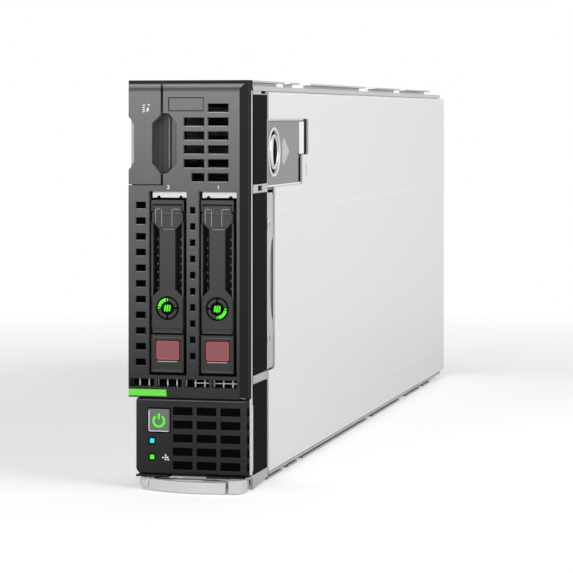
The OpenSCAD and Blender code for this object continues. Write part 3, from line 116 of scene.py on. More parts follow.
def stroke(path, width, height, place, base=0.0, roundEnds=True):
    # ribbon with a low arched section carried along a flat path; its width falls to a half circle at each end
    count = len(path)
    step = np.gradient(path, axis=0)
    step /= np.maximum(np.linalg.norm(step, axis=1, keepdims=True), 1e-12)
    side = np.stack([step[:, 1], -step[:, 0]], -1)
    length = np.concatenate([[0], np.cumsum(np.linalg.norm(np.diff(path, axis=0), axis=1))])
    reach = np.minimum(length, length[-1] - length) if roundEnds else np.full(count, width)
    share = np.clip(reach / (width / 2), 0.04, 1)
    half = width / 2 * np.sqrt(1 - (1 - share) ** 2)
    angle = np.linspace(0, math.pi, 7)
    u = path[:, None, 0] + side[:, None, 0] * half[:, None] * np.cos(angle)
    v = path[:, None, 1] + side[:, None, 1] * half[:, None] * np.cos(angle)
    w = base + height * np.minimum(1, 1.6 * np.sin(angle))[None, :] * np.ones((count, 1))
    points = place(np.stack([u, v, w], -1).reshape(-1, 3))
    faces = gridFaces(count, 7).tolist()
    faces += [list(range(7)), list(range((count - 1) * 7, count * 7))[::-1]]
    return points, faces


def turned(profile, place, centre=(0, 0), steps=64, capped=True):
    # surface of revolution about the plane's normal: profile rows are (radius, height)
    profile = np.asarray(profile, float)
    a = np.linspace(0, 2 * math.pi, steps, endpoint=False)
    u = centre[0] + profile[:, 0:1] * np.cos(a)[None, :]
    v = centre[1] + profile[:, 0:1] * np.sin(a)[None, :]
    w = profile[:, 1:2] + 0 * a[None, :]
    points = place(np.stack([u, v, w], -1).reshape(-1, 3))
    faces = gridFaces(len(profile), steps, wrapCols=True)[:, ::-1].tolist()
    if capped:
        faces.append(list(range((len(profile) - 1) * steps, len(profile) * steps)))
        faces.append(list(range(steps))[::-1])
    return points, faces


def tube(path, radius, steps=10):
    # round wire carried along a path in space, on a frame that turns as little as it can
    count = len(path)
    along = np.gradient(path, axis=0)
    along /= np.linalg.norm(along, axis=1, keepdims=True)
    up = np.zeros((count, 3))
    seed = np.array([0.0, 0.0, 1.0]) if abs(along[0, 2]) < 0.9 else np.array([1.0, 0.0, 0.0])
    for k in range(count):
        seed = seed - along[k] * seed.dot(along[k])
        seed /= np.linalg.norm(seed)
        up[k] = seed
    side = np.cross(along, up)
    a = np.linspace(0, 2 * math.pi, steps, endpoint=False)
    turn = np.cos(a)[None, :, None] * up[:, None] + np.sin(a)[None, :, None] * side[:, None]
    ring = path[:, None] + radius * turn
    faces = gridFaces(count, steps, wrapCols=True).tolist()
    faces += [list(range(steps)), list(range((count - 1) * steps, count * steps))[::-1]]
    return ring.reshape(-1, 3), faces


# finishes

def tone(red, green=None, blue=None):
    # a screen colour from 0 to 255 as the linear colour that a shader takes
    values = [red, red if green is None else green, red if blue is None else blue]
    return [v / 255 / 12.92 if v <= 10 else ((v / 255 + 0.055) / 1.055) ** 2.4 for v in values]


grainSpread = 0.06  # how far the grain moves the roughness to either side
grainHeight = 0.06 * mm  # height of the grain's bumps


def mathNode(tree, operation, first, second):
    node = tree.nodes.new("ShaderNodeMath")
    node.operation = operation
    for socket, value in zip(node.inputs, (first, second)):
        if isinstance(value, float):
            socket.default_value = value
        else:
            tree.links.new(value, socket)
    return node.outputs[0]


def finish(name, look):
    # fine grain in roughness and height, broad drift in colour, and edges softened by the bevel node; where a
    # look asks, also painted light and shade by height, painted shade beyond a line, and a glow
    material = bpy.data.materials.new(name)
    material.use_nodes = True
    tree = material.node_tree
    shader = tree.nodes["Principled BSDF"]
    shader.inputs["Metallic"].default_value = look.get("metal", 0.0)
    shader.inputs["IOR"].default_value = look.get("ior", 1.45)
    place = tree.nodes.new("ShaderNodeTexCoord")
    stretch = tree.nodes.new("ShaderNodeMapping")
    stretch.inputs["Scale"].default_value = look.get("stretch", (1, 1, 1))
    tree.links.new(place.outputs["Object"], stretch.inputs["Vector"])
    drift = tree.nodes.new("ShaderNodeTexNoise")
    drift.inputs["Scale"].default_value = look.get("driftScale", 14)
    drift.inputs["Detail"].default_value = 3
    tree.links.new(stretch.outputs["Vector"], drift.inputs["Vector"])
    tint = tree.nodes.new("ShaderNodeMix")
    tint.data_type = "RGBA"
    base = look["colour"]
    spread = look.get("drift", 0.05)
    tint.inputs[6].default_value = [*(min(1, c * (1 - spread)) for c in base), 1]
    tint.inputs[7].default_value = [*(min(1, c * (1 + spread)) for c in base), 1]
    tree.links.new(drift.outputs["Fac"], tint.inputs[0])
    colourOut = tint.outputs[2]
    if "fade" in look:
        # painted light and shade by height: the colour is scaled at each height, lighter towards the top as
        # if lit from above, and for the bezel banded like the reflections on its rounded top edge: stops of
        # (height, factor) on a ramp
        stops = look["fade"]
        most = max(factor for height, factor in stops)
        level = tree.nodes.new("ShaderNodeSeparateXYZ")
        tree.links.new(place.outputs["Object"], level.inputs[0])
        climb = tree.nodes.new("ShaderNodeMapRange")
        climb.inputs["From Min"].default_value = stops[0][0] * mm
        climb.inputs["From Max"].default_value = stops[-1][0] * mm
        tree.links.new(level.outputs["Z"], climb.inputs["Value"])
        ramp = tree.nodes.new("ShaderNodeValToRGB")
        for i, (height, factor) in enumerate(stops):
            share = (height - stops[0][0]) / (stops[-1][0] - stops[0][0])
            spot = ramp.color_ramp.elements[0 if i == 0 else -1] if share in (0, 1) else None
            spot = spot or ramp.color_ramp.elements.new(share)
            spot.color = (factor / most, factor / most, factor / most, 1)
        tree.links.new(climb.outputs["Result"], ramp.inputs["Fac"])
        factor = mathNode(tree, "MULTIPLY", ramp.outputs["Color"], most)
        scaled = tree.nodes.new("ShaderNodeVectorMath")
        scaled.operation = "SCALE"
        tree.links.new(colourOut, scaled.inputs[0])
        tree.links.new(factor, scaled.inputs["Scale"])
        colourOut = scaled.outputs[0]
    if "second" in look:
        # another colour where x - lean * max(0, z - leanFrom) lies beyond a line across the part: painted
        # shade, near-black on the bezel's slanted shoulder and dark on the lever housing's front
        second = look["second"]
        parts = tree.nodes.new("ShaderNodeSeparateXYZ")
        tree.links.new(place.outputs["Object"], parts.inputs[0])
        above = mathNode(tree, "SUBTRACT", parts.outputs["Z"], second.get("leanFrom", 0.0) * mm)
        above = mathNode(tree, "MAXIMUM", above, 0.0)
        shift = mathNode(tree, "MULTIPLY", above, second.get("lean", 0.0))
        across = mathNode(tree, "SUBTRACT", parts.outputs["X"], shift)
        beyond = mathNode(tree, second["side"], across, second["line"] * mm)
        swap = tree.nodes.new("ShaderNodeMix")
        swap.data_type = "RGBA"
        swap.inputs[7].default_value = [*second["colour"], 1]
        tree.links.new(beyond, swap.inputs[0])
        tree.links.new(colourOut, swap.inputs[6])
        colourOut = swap.outputs[2]
    tree.links.new(colourOut, shader.inputs["Base Color"])
    grain = tree.nodes.new("ShaderNodeTexNoise")
    grain.inputs["Scale"].default_value = look.get("grain", 900)
    grain.inputs["Detail"].default_value = 2
    tree.links.new(stretch.outputs["Vector"], grain.inputs["Vector"])
    rough = tree.nodes.new("ShaderNodeMapRange")
    rough.inputs["To Min"].default_value = look["rough"] - grainSpread
    rough.inputs["To Max"].default_value = look["rough"] + grainSpread
    tree.links.new(grain.outputs["Fac"], rough.inputs["Value"])
    tree.links.new(rough.outputs["Result"], shader.inputs["Roughness"])
    bump = tree.nodes.new("ShaderNodeBump")
    bump.inputs["Strength"].default_value = look.get("bump", 0.15)
    bump.inputs["Distance"].default_value = grainHeight
    tree.links.new(grain.outputs["Fac"], bump.inputs["Height"])
    if look.get("edge", 0) > 0:
        edge = tree.nodes.new("ShaderNodeBevel")
        edge.samples = 4
        edge.inputs["Radius"].default_value = look["edge"] * mm
        tree.links.new(edge.outputs["Normal"], bump.inputs["Normal"])
    tree.links.new(bump.outputs["Normal"], shader.inputs["Normal"])
    if "glow" in look:
        shader.inputs["Emission Color"].default_value = [*look["colour"], 1]
        shader.inputs["Emission Strength"].default_value = look["glow"]
    return material


# painted light on the bezel: the colour is darker towards the bottom and lighter towards the top as if lit
# from above. Near the top it carries painted reflections of the rounded top edge: a dark line at 176.3 to
# 177.1 mm, a bright line at 177.9 to 178.6 mm and a black band above 179.1 mm
bezelPaintedLight = [(0, 0.42), (15, 0.5), (50, 0.85), (95, 2.6), (130, 4.0), (172, 6.0), (175.4, 6.2), (176.3, 2.2),
             (177.1, 2.2), (177.9, 8.0), (178.6, 8.0), (179.1, 0.2), (180.6, 0.2)]
bezelBase = dict(colour=tone(50, 50, 51), rough=0.42, ior=1.27, drift=0.03, grain=2600, bump=0.3, edge=0.45,
                 fade=bezelPaintedLight)
looks = {
    "caseMetal": dict(colour=tone(188, 189, 191), metal=0.75, rough=0.36, drift=0.06, grain=1200,
                      stretch=(1, 0.25, 1), edge=0.3),
    "panelMetal": dict(colour=tone(228, 228, 229), metal=0.0, rough=0.42, drift=0.035, driftScale=9,
                       grain=1500, stretch=(1, 0.3, 1), bump=0.08, edge=0.4),
    # painted shade: right of the line at 23.3 mm the bezel's slanted shoulder is near-black
    "bezelPlastic": dict(bezelBase, second=dict(side="GREATER_THAN", line=23.3, lean=0.9, leanFrom=176.8,
                                                colour=tone(14, 14, 15))),
    "panelPlastic": bezelBase,
    # painted highlight on the slots' lower edges, made lighter towards the top as painted light
    "sillHighlight": dict(colour=tone(80, 80, 81), rough=0.5, drift=0.03,
                     fade=[(50, 1.2), (125, 3.8), (172, 7.0)]),
    # the drive plastic's fade is painted light: lighter towards the top as if lit from above
    "drivePlastic": dict(colour=tone(50, 50, 51), rough=0.46, ior=1.3, drift=0.14, driftScale=700, grain=2300,
                         bump=0.7, edge=0.4, fade=[(50, 0.9), (128, 1.9)]),
    "blackPlastic": dict(colour=tone(10, 10, 11), rough=0.6, ior=1.07, drift=0.04, grain=2000, bump=0.2,
                         edge=0.3),
    # painted shade: the housing's front left of 25.9 mm is dark, in the gap above the lever's grip
    "housingMetal": dict(colour=tone(192, 193, 195), metal=0.7, rough=0.32, drift=0.05, edge=0.3,
                         second=dict(side="LESS_THAN", line=25.9, colour=tone(34, 34, 35))),
    # painted shade: near-black for openings and plates that sit in shade
    "paintedShade": dict(colour=tone(8, 8, 9), rough=0.7, ior=1.05, drift=0.1, grain=1500),
    "deckPaint": dict(colour=tone(128, 128, 129), rough=0.45, drift=0.03, grain=1800, bump=0.1, edge=0.3),
    "arrowPaint": dict(colour=tone(186, 186, 187), rough=0.45, drift=0.03),
    "brightMetal": dict(colour=tone(208, 209, 211), metal=1.0, rough=0.25, drift=0.05, grain=900, edge=0.25),
    "leverPaint": dict(colour=tone(212, 213, 215), metal=0.2, rough=0.4, drift=0.03, grain=1800, bump=0.1,
                       edge=0.45),
    "leverBacking": dict(colour=tone(120, 120, 122), metal=0.3, rough=0.45, drift=0.05, edge=0.3),
    # the white print's glow is painted light
    "marker": dict(colour=tone(236, 236, 236), rough=0.6, drift=0.02, glow=0.12),
    # paleLine and faintLine are light strokes: painted highlights on edges that catch the light, and also the
    # drive fronts' label frames, edge lines and holes
    "paleLine": dict(colour=tone(172, 172, 173), rough=0.5, drift=0.03),
    "faintLine": dict(colour=tone(92, 92, 93), rough=0.5, drift=0.03),
    "whiteMetal": dict(colour=tone(240, 240, 241), metal=0.1, rough=0.35, drift=0.03, edge=0.3),
    "lampGreen": dict(colour=tone(66, 232, 10), rough=0.35, drift=0.02, glow=0.35, edge=0.2),
    "lampCyan": dict(colour=tone(8, 218, 234), rough=0.35, drift=0.02, glow=0.35, edge=0.2),
    # the accent strip's glow is painted light; the strip is no lamp
    "accentGreen": dict(colour=tone(98, 218, 58), rough=0.45, drift=0.02, glow=0.1, edge=0.3),
    "maroonEdge": dict(colour=tone(178, 72, 74), rough=0.4, drift=0.03, edge=0.2),
    "maroonPlastic": dict(colour=tone(138, 76, 80), rough=0.5, drift=0.04, grain=2300, bump=0.35, edge=0.45),
    "boardGreen": dict(colour=tone(34, 82, 52), rough=0.4, drift=0.12, driftScale=60, grain=1500, bump=0.1),
    "connectorBlack": dict(colour=tone(34, 34, 36), rough=0.42, drift=0.05, edge=0.2),
    "latchPlastic": dict(colour=tone(214, 212, 204), rough=0.45, drift=0.04, edge=0.25),
    "finMetal": dict(colour=tone(196, 198, 202), metal=0.9, rough=0.32, drift=0.05, edge=0.15),
    "buttonMetal": dict(colour=tone(108, 108, 110), metal=0.6, rough=0.38, drift=0.12, driftScale=90,
                        grain=1600, edge=0.6),
}
paint = {name: finish(name, look) for name, look in looks.items()}
print("finishes made:", len(paint))

bySlot = {"steel": "caseMetal", "bezel": "bezelPlastic", "black_trim": "blackPlastic", "panel": "panelMetal",
          "deck": "deckPaint", "silver": "brightMetal", "lever_grey": "leverBacking", "accent": "accentGreen",
          "lamp_green": "lampGreen", "lamp_cyan": "lampCyan", "maroon": "maroonPlastic",
          "board": "boardGreen", "connector": "connectorBlack", "latch_plastic": "latchPlastic",
          "card_plastic": "latchPlastic"}
# the front plate takes painted shade, near-black where it sits behind the bezel
byNode = {"lever_grip": "leverPaint", "lever_plate": "leverPaint", "lever_button": "leverPaint",
          "lever_housing": "housingMetal", "power_panel": "panelPlastic",
          "heatsink_front": "finMetal", "heatsink_rear": "finMetal", "chipset_heatsink": "finMetal",
          "power_button": "buttonMetal", "drive_carrier_1": "drivePlastic", "drive_carrier_2": "drivePlastic",
          "drive_latch_1": "drivePlastic", "drive_latch_2": "drivePlastic", "front_plate": "paintedShade",
          "light_ring_1": "blackPlastic", "light_ring_2": "blackPlastic", "panel_release": "deckPaint"}
for name, node in nodes.items():
    for spot in node.material_slots:
        slotName = spot.material.name.split(".")[0] if spot.material else "steel"
        spot.material = paint[byNode.get(name, bySlot.get(slotName, "caseMetal"))]
print("finishes given to the frame's nodes")

bezelFace = -247.8 * mm


def frontPlace(back):
    # drawing plane on the front, in millimetres: across, up and outwards, at a depth behind the bezel's face
    return lambda p: np.stack([p[:, 0] * mm, bezelFace + (back - p[:, 2]) * mm, p[:, 1] * mm], -1)


def sidePlace(x):
    # drawing plane on the right-hand side, in millimetres: depth behind the bezel's face, up and outwards
    return lambda p: np.stack([(x + p[:, 2]) * mm, bezelFace + p[:, 0] * mm, p[:, 1] * mm], -1)


def line(start, end, steps=9):
    return np.column_stack([np.linspace(start[0], end[0], steps), np.linspace(start[1], end[1], steps)])


def bar(start, end, width, height, place, steps=9, base=0.0, roundEnds=True):
    # straight stroke
    return stroke(line(start, end, steps), width, height, place, base, roundEnds)


def closedBand(outline, width, rise, place, base=0.0):
    # low ridge that follows a closed outline: an arched section swept along the outline's normals
    normal = outlineNormals(outline)
    a = np.linspace(0, math.pi, 6)
    u = outline[:, None, :] + normal[:, None, :] * (width / 2 * np.cos(a))[None, :, None]
    w = base + rise * np.sin(a)[None, :] * np.ones((len(outline), 1))
    points = place(np.concatenate([u, w[:, :, None]], -1).reshape(-1, 3))
    return points, gridFaces(len(outline), 6, wrapRows=True).tolist()


# status rings, one on each drive's latch
driveX = {"1": 12.95, "2": -9.85}
ringLook = dict(z=79.8, back=0.95, outer=4.5, inner=3.0, rise=0.2, gapDeg=14, litGapDeg=3, tickWide=0.5,
                litQuarter={"1": 3, "2": 1}, barReach=1.6, barWide=0.8, barRise=0.25, barStep=1.05,
                slant=0.22)
ringPlace = frontPlace(ringLook["back"])
inner, outer, ringZ = ringLook["inner"], ringLook["outer"], ringLook["z"]
for number, x in driveX.items():
    grey, green = [], []
    for quarter in range(4):
        lit = quarter == ringLook["litQuarter"][number]
        spare = ringLook["gapDeg"] / 2 + (ringLook["litGapDeg"] if lit else 0)
        path = arcPath((x, ringZ), (outer + inner) / 2, quarter * 90 + spare, (quarter + 1) * 90 - spare)
        band = stroke(path, outer - inner, ringLook["rise"], ringPlace, roundEnds=False)
        (green if lit else grey).append(band)
        for turn in (quarter * 90, (quarter + 1) * 90) if lit else ():
            way = np.array([math.cos(math.radians(turn)), math.sin(math.radians(turn))])
            ends = [np.array([x, ringZ]) + way * r for r in (inner + 0.2, outer - 0.1)]
            green.append(bar(*ends, ringLook["tickWide"], ringLook["rise"], ringPlace, roundEnds=False))
    for step in (-1, 0, 1):
        # the bars lean: across = middle + slant * t while t runs from bottom to top
        t = np.linspace(-1, 1, 15)
        reach = ringLook["barReach"] * (1 - 0.1 * abs(step))
        path = np.column_stack([x + step * ringLook["barStep"] + ringLook["slant"] * t, ringZ + reach * t])
        green.append(stroke(path, ringLook["barWide"], ringLook["barRise"], ringPlace))
    addPiece("ring_segments_" + number, grey, paint["drivePlastic"], "drive_latch_" + number)
    addPiece("ring_lights_" + number, green, paint["lampGreen"], "drive_latch_" + number)
print("status rings")

# drive fronts: label frame, edge lines, painted highlights on the latch's brow and foot and under the eject
# button, and the small holes beside the bar
driveLook = dict(latchBack=0.9, carrierBack=1.0, labelTop=123.6, labelFoot=115.8,
                 labelLines=(-5.4, -2.6, 2.1), labelCorner=1.4, lineWide=0.26, tieWide=0.24, footTieWide=0.2,
                 lineRise=0.05, browZ=121.6, browHalf=6.7, footZ=69.3, footLineZ=70.2, footHalf=6.9,
                 railX=7.05, railZ=(70.5, 113.0), sillZ=56.2, sillHalf=4.7, edgeZ=(66.9, 52.2), holeX=5.4,
                 holeZ=74, holeStep=3.6, holeRows=11, holeBack=4.6)
latchFace = frontPlace(driveLook["latchBack"])
carrierFace = frontPlace(driveLook["carrierBack"])
holeFace = frontPlace(driveLook["holeBack"])
dotProfile = [(0.42, 0.0), (0.42, 0.12), (0.2, 0.16)]


def levelBar(x, z, half, width, rise, place, steps=25):
    # straight stroke that runs level to either side of x
    return bar((x - half, z), (x + half, z), width, rise, place, steps)


for number, x in driveX.items():
    top, foot, rise = driveLook["labelTop"], driveLook["labelFoot"], driveLook["lineRise"]
    left, middle, right = driveLook["labelLines"]
    label = [bar((x + u, top), (x + u, foot + lift), driveLook["lineWide"], rise, latchFace)
             for u, lift in ((left, driveLook["labelCorner"]), (middle, 0), (right, 0))]
    label += [bar((x + left, top), (x - 3.2, top), driveLook["tieWide"], rise, latchFace),
              bar((x + right, top), (x + 5.6, top), driveLook["tieWide"], rise, latchFace),
              bar((x - 2.2, foot - 1.1), (x + 3.4, foot - 1.1), driveLook["footTieWide"], rise, latchFace)]
    addPiece("label_frame_" + number, label, paint["paleLine"], "drive_latch_" + number)
    # painted highlights along the latch's brow and foot edges
    ridges = [levelBar(x, driveLook["browZ"], driveLook["browHalf"], 0.3, 0.1, latchFace),
              levelBar(x, driveLook["footZ"], driveLook["footHalf"], 0.34, 0.12, latchFace),
              levelBar(x, driveLook["footLineZ"], driveLook["footHalf"], 0.2, 0.08, latchFace)]
    addPiece("latch_ridges_" + number, ridges, paint["faintLine"], "drive_latch_" + number)
    # painted highlight: a pale line under the eject button
    sill = levelBar(x, driveLook["sillZ"], driveLook["sillHalf"], 0.42, 0.14, carrierFace, steps=21)
    addPiece("button_sill_" + number, [sill], paint["paleLine"], "drive_" + number)
    edges = [levelBar(x, z, driveLook["footHalf"], 0.26, 0.1, carrierFace) for z in driveLook["edgeZ"]]
    low, high = driveLook["railZ"]
    edges += [bar((u, low), (u, high), 0.3, 0.1, carrierFace, steps=31)
              for u in (x - driveLook["railX"], x + driveLook["railX"])]
    addPiece("carrier_edges_" + number, edges, paint["faintLine"], "drive_" + number)
    spots = [(x + side * driveLook["holeX"], driveLook["holeZ"] + row * driveLook["holeStep"])
             for row in range(driveLook["holeRows"]) for side in (-1, 1)]
    holes = [turned(dotProfile, holeFace, spot, steps=10) for spot in spots]
    addPiece("vent_dots_" + number, holes, paint["faintLine"], "drive_" + number)
print("drive fronts")

# marks on the bezel: bay numbers, tab mark, plate outline
markLook = dict(z=133.3, high=1.5, wide=0.34, rise=0.05, oneX=13.75, flag=0.45, twoX=-9.2, bow=0.42, foot=0.5,
                plateX=(-9.3, 7.1), plateZ=(166.9, 173.0), plateBand=0.3, plateBack=0.5)
face = frontPlace(0.0)
low, high = markLook["z"] - markLook["high"] / 2, markLook["z"] + markLook["high"] / 2
wide, rise, x = markLook["wide"], markLook["rise"], markLook["oneX"]
one = [bar((x, low), (x, high), wide, rise, face),
       bar((x, high), (x - markLook["flag"], high - 0.4), wide * 0.8, rise, face)]
addPiece("bay_number_1", one, paint["marker"], "case")
x, bow, foot = markLook["twoX"], markLook["bow"], markLook["foot"]
curve = arcPath((x, high - bow), bow, 170, -40, 14)
two = [stroke(np.concatenate([curve, line(curve[-1], (x - 0.45, low))[1:]]), wide, rise, face),
       bar((x - foot, low), (x + foot, low), wide, rise, face)]
addPiece("bay_number_2", two, paint["marker"], "case")
tabLook = dict(x=(-21.1, -19.8), top=169.4, lean=0.3, step=0.95, lines=4, wide=0.42, rise=0.05,
               dot=(-18.1, 169.7), figure=((-18.9, 166.7), (-18.4, 168.5)), figureWide=0.95, figureRise=0.06)
left, right = tabLook["x"]
heights = [tabLook["top"] - k * tabLook["step"] for k in range(tabLook["lines"])]
tabMark = [bar((left, z), (right, z + tabLook["lean"]), tabLook["wide"], tabLook["rise"], face)
           for z in heights]
tabMark += [bar(*tabLook["figure"], tabLook["figureWide"], tabLook["figureRise"], face),
            turned([(0.4, 0), (0.4, 0.04), (0.2, 0.06)], face, tabLook["dot"], steps=14)]
addPiece("tab_mark", tabMark, paint["marker"], "service_tab")
x0, x1 = markLook["plateX"]
z0, z1 = markLook["plateZ"]
band = markLook["plateBand"]
plateFrame = roundedBox(x1 - x0 - band, z1 - z0 - band, 0.4, ((x0 + x1) / 2, (z0 + z1) / 2))
addPiece("name_plate_rim", [closedBand(plateFrame, band, 0.12, frontPlace(markLook["plateBack"]))],
         paint["blackPlastic"], "case")

# pale lower edges of the air slots: painted highlights where the edges catch light from above
sillLook = dict(ventRight=18.3, ventWide=9.5, ventShort=5.9, ventTop=166.4, ventStep=6.13, ventRows=6,
                columnStep=11.0, sideX=(-24.2, -19.5), sideZ=54.2, sideStep=6.95, sideCount=11,
                midX=(0.7, 3.2), midZ=57.2, midStep=7.14, midCount=10, thick=0.26, rise=0.06)
thick, rise = sillLook["thick"], sillLook["rise"]
sills = []
for row in range(sillLook["ventRows"]):
    z = sillLook["ventTop"] - sillLook["ventStep"] * row
    for column in range(2 if row else 1):
        right = sillLook["ventRight"] - sillLook["columnStep"] * column
        short = column and row == sillLook["ventRows"] - 1
        left = right - sillLook["ventShort" if short else "ventWide"]
        sills.append(bar((left, z), (right, z), thick, rise, face))
for word in ("side", "mid"):
    left, right = sillLook[word + "X"]
    for i in range(sillLook[word + "Count"]):
        z = sillLook[word + "Z"] + sillLook[word + "Step"] * i
        sills.append(bar((left, z), (right, z), thick, rise, face, steps=5))
addPiece("slot_sill_highlights", sills, paint["sillHighlight"], "case")

# rounded rims of the two maroon eject buttons
rimLook = dict(x={"1": 13.15, "2": -9.65}, z=61.15, wide=9.9, high=7.9, corner=0.6, band=0.55, rise=0.12,
               back=0.7)
for number, x in rimLook["x"].items():
    outline = roundedBox(rimLook["wide"], rimLook["high"], rimLook["corner"], (x, rimLook["z"]))
    rim = closedBand(outline, rimLook["band"], rimLook["rise"], frontPlace(rimLook["back"]))
    addPiece("eject_rim_" + number, [rim], paint["maroonEdge"], "eject_button_" + number)

# bars in the slot row under the drives, over a dark sheet of painted shade
rowLook = dict(x0=-23.25, step=4.27, count=11, z=(44.9, 48.6), front=3.7, shade=4.25, barWide=0.7,
               crossFrom=5, crossWide=0.4, rise=0.2, knot=0.35, shadeX=(-25.6, 22.3), sheetCols=30,
               sheetRows=4)
barPlace = frontPlace(rowLook["front"])
low, high = rowLook["z"]
middle, rise, crossWide = (low + high) / 2, rowLook["rise"], rowLook["crossWide"]
rowBars = []
for k in range(rowLook["count"]):
    x = rowLook["x0"] + rowLook["step"] * k
    rowBars.append(bar((x, low), (x, high), rowLook["barWide"], rise, barPlace))
    if k > rowLook["crossFrom"]:
        rowBars.append(bar((x, middle), (x + rowLook["step"], middle), crossWide, rise, barPlace))
        rowBars.append(stroke(arcPath((x, middle), rowLook["knot"], 0, 350, 12), crossWide, rise, barPlace))
addPiece("slot_bars", rowBars, paint["whiteMetal"], "case")
cols, rows = rowLook["sheetCols"], rowLook["sheetRows"]
u, v = np.meshgrid(np.linspace(*rowLook["shadeX"], cols), np.linspace(low, high, rows), indexing="ij")
# a sheet with a slight ripple: height = 0.01 * sin(across)
sheet = np.column_stack([u.ravel(), v.ravel(), 0.01 * np.sin(u.ravel())])
addPiece("slot_shade", [(frontPlace(rowLook["shade"])(sheet), gridFaces(cols, rows).tolist())],
         paint["paintedShade"], "case")
print("marks on the bezel")

# power panel: symbol, button rim, painted shade in the gaps round the lamps and the button, painted
# highlights on the panel's top edge and the shoulder's foot, and the network mark
powerLook = dict(centre=(-13.75, 30.0), back=0.8, radius=2.45, wide=1.05, openDeg=34, rise=0.12,
                 rimReach=4.55, sideRim=0.42, footRim=0.34, panelBack=1.6, lampX=-17.1, lampZ=(13.7, 20.9),
                 lampBox=2.9, gapWide=0.5, ledgeX=(-23.4, 25.6), ledgeZ=39.0, dotRadius=0.36, tieWide=0.22,
                 tieRise=0.04)
cx, cz = powerLook["centre"]
buttonFace = frontPlace(powerLook["back"])
wide, rise, reach = powerLook["wide"], powerLook["rise"], powerLook["rimReach"]
ring = arcPath((cx, cz - 0.2), powerLook["radius"], 90 + powerLook["openDeg"], 450 - powerLook["openDeg"], 44)
symbol = [stroke(ring, wide, rise, buttonFace), bar((cx, cz + 0.5), (cx, cz + 3.3), wide, rise, buttonFace)]
addPiece("power_symbol", symbol, paint["lampGreen"], "power_button")
rim = [bar((cx - reach, cz + 4.6), (cx - reach, cz - 4.5), powerLook["sideRim"], rise, buttonFace, steps=21),
       bar((cx - 4.5, cz - 4.65), (cx + 4.4, cz - 4.65), powerLook["footRim"], rise, buttonFace, steps=21)]
addPiece("power_button_rim", rim, paint["whiteMetal"], "power_button")
panelFace = frontPlace(powerLook["panelBack"])
lampBox, gapWide = powerLook["lampBox"], powerLook["gapWide"]
# painted shade: near-black bands in the gaps round the two lamps and the power button
dark = [closedBand(roundedBox(lampBox, lampBox, 0.7, (powerLook["lampX"], z)), gapWide, 0.1, panelFace)
        for z in powerLook["lampZ"]]
dark.append(closedBand(roundedBox(10.5, 10.8, 0.8, (cx, cz + 0.1)), gapWide, 0.08, panelFace))
addPiece("panel_gap_shade", dark, paint["blackPlastic"], "case")
spots = [(-12.1, 13.6), (-10.9, 14.7), (-10.9, 12.7), (-9.6, 12.7), (-9.9, 13.7)]
dot = [(powerLook["dotRadius"], 0), (powerLook["dotRadius"], 0.04), (0.2, 0.06)]
network = [turned(dot, panelFace, spot, steps=12) for spot in spots]
network += [bar(spots[a], spots[b], powerLook["tieWide"], powerLook["tieRise"], panelFace)
            for a, b in ((0, 4), (1, 2), (1, 3))]
addPiece("network_mark", network, paint["marker"], "case")
left, right = powerLook["ledgeX"]
# painted highlight along the power panel's top edge
ledge = bar((left, powerLook["ledgeZ"]), (right, powerLook["ledgeZ"]), 0.45, 0.12, panelFace, steps=41)
addPiece("panel_top_edge_highlight", [ledge], paint["faintLine"], "case")
# painted highlight on the slanted foot of the bezel's shoulder
jog = np.concatenate([line((22.9, 42.6), (23.5, 41.0)), line((23.7, 40.9), (26.2, 40.6))])
addPiece("shoulder_foot_highlight", [stroke(jog, 0.2, 0.06, frontPlace(0.2))], paint["paleLine"], "case")
print("power panel")

# vent field of the power panel: a raised grid of bars over a dark sheet of painted shade
ventLook = dict(x0=-7.4, wide=9.0, stepX=10.87, cols=3, z0=8.6, high=3.55, stepZ=6.0, rows=5,
                edgeX=(-8.4, 26.4), edgeZ=(7.0, 38.2), front=1.2, deep=0.38, shade=1.52, shadeX=(-7.8, 25.6),
                shadeZ=(8.0, 37.4), sheetCols=14, sheetRows=12)


def edgesOf(first, size, step, count, ends):
    # both ends of a row of openings with each opening's edges between them
    starts = [first + k * step for k in range(count)]
    return [ends[0]] + [edge for start in starts for edge in (start, start + size)] + [ends[1]]


xs = edgesOf(ventLook["x0"], ventLook["wide"], ventLook["stepX"], ventLook["cols"], ventLook["edgeX"])
zs = edgesOf(ventLook["z0"], ventLook["high"], ventLook["stepZ"], ventLook["rows"], ventLook["edgeZ"])
fieldPlace = frontPlace(ventLook["front"])
cellFaces = [[0, 1, 2, 3]] + [[4 + k, 4 + (k + 1) % 4, (k + 1) % 4, k] for k in range(4)]
bars = []
for i in range(len(xs) - 1):
    for j in range(len(zs) - 1):
        if i % 2 == 1 and j % 2 == 1:
            continue
        # a bar cell: its front face and the walls that line the openings beside it
        corners = np.array([[xs[i], zs[j]], [xs[i + 1], zs[j]], [xs[i + 1], zs[j + 1]], [xs[i], zs[j + 1]]])
        both = np.concatenate([np.column_stack([corners, np.full(4, w)]) for w in (0.0, -ventLook["deep"])])
        bars.append((fieldPlace(both), cellFaces))
addPiece("vent_field", bars, paint["panelPlastic"], "case", smooth=False)
cols, rows = ventLook["sheetCols"], ventLook["sheetRows"]
u, v = np.meshgrid(np.linspace(*ventLook["shadeX"], cols), np.linspace(*ventLook["shadeZ"], rows),
                   indexing="ij")
# a sheet with a slight ripple: height = 0.02 * sin(across) * sin(up)
sheet = np.column_stack([u.ravel(), v.ravel(), 0.02 * np.sin(u.ravel()) * np.sin(v.ravel())])
addPiece("vent_shade", [(frontPlace(ventLook["shade"])(sheet), gridFaces(cols, rows).tolist())],
         paint["paintedShade"], "case")
print("vent field")

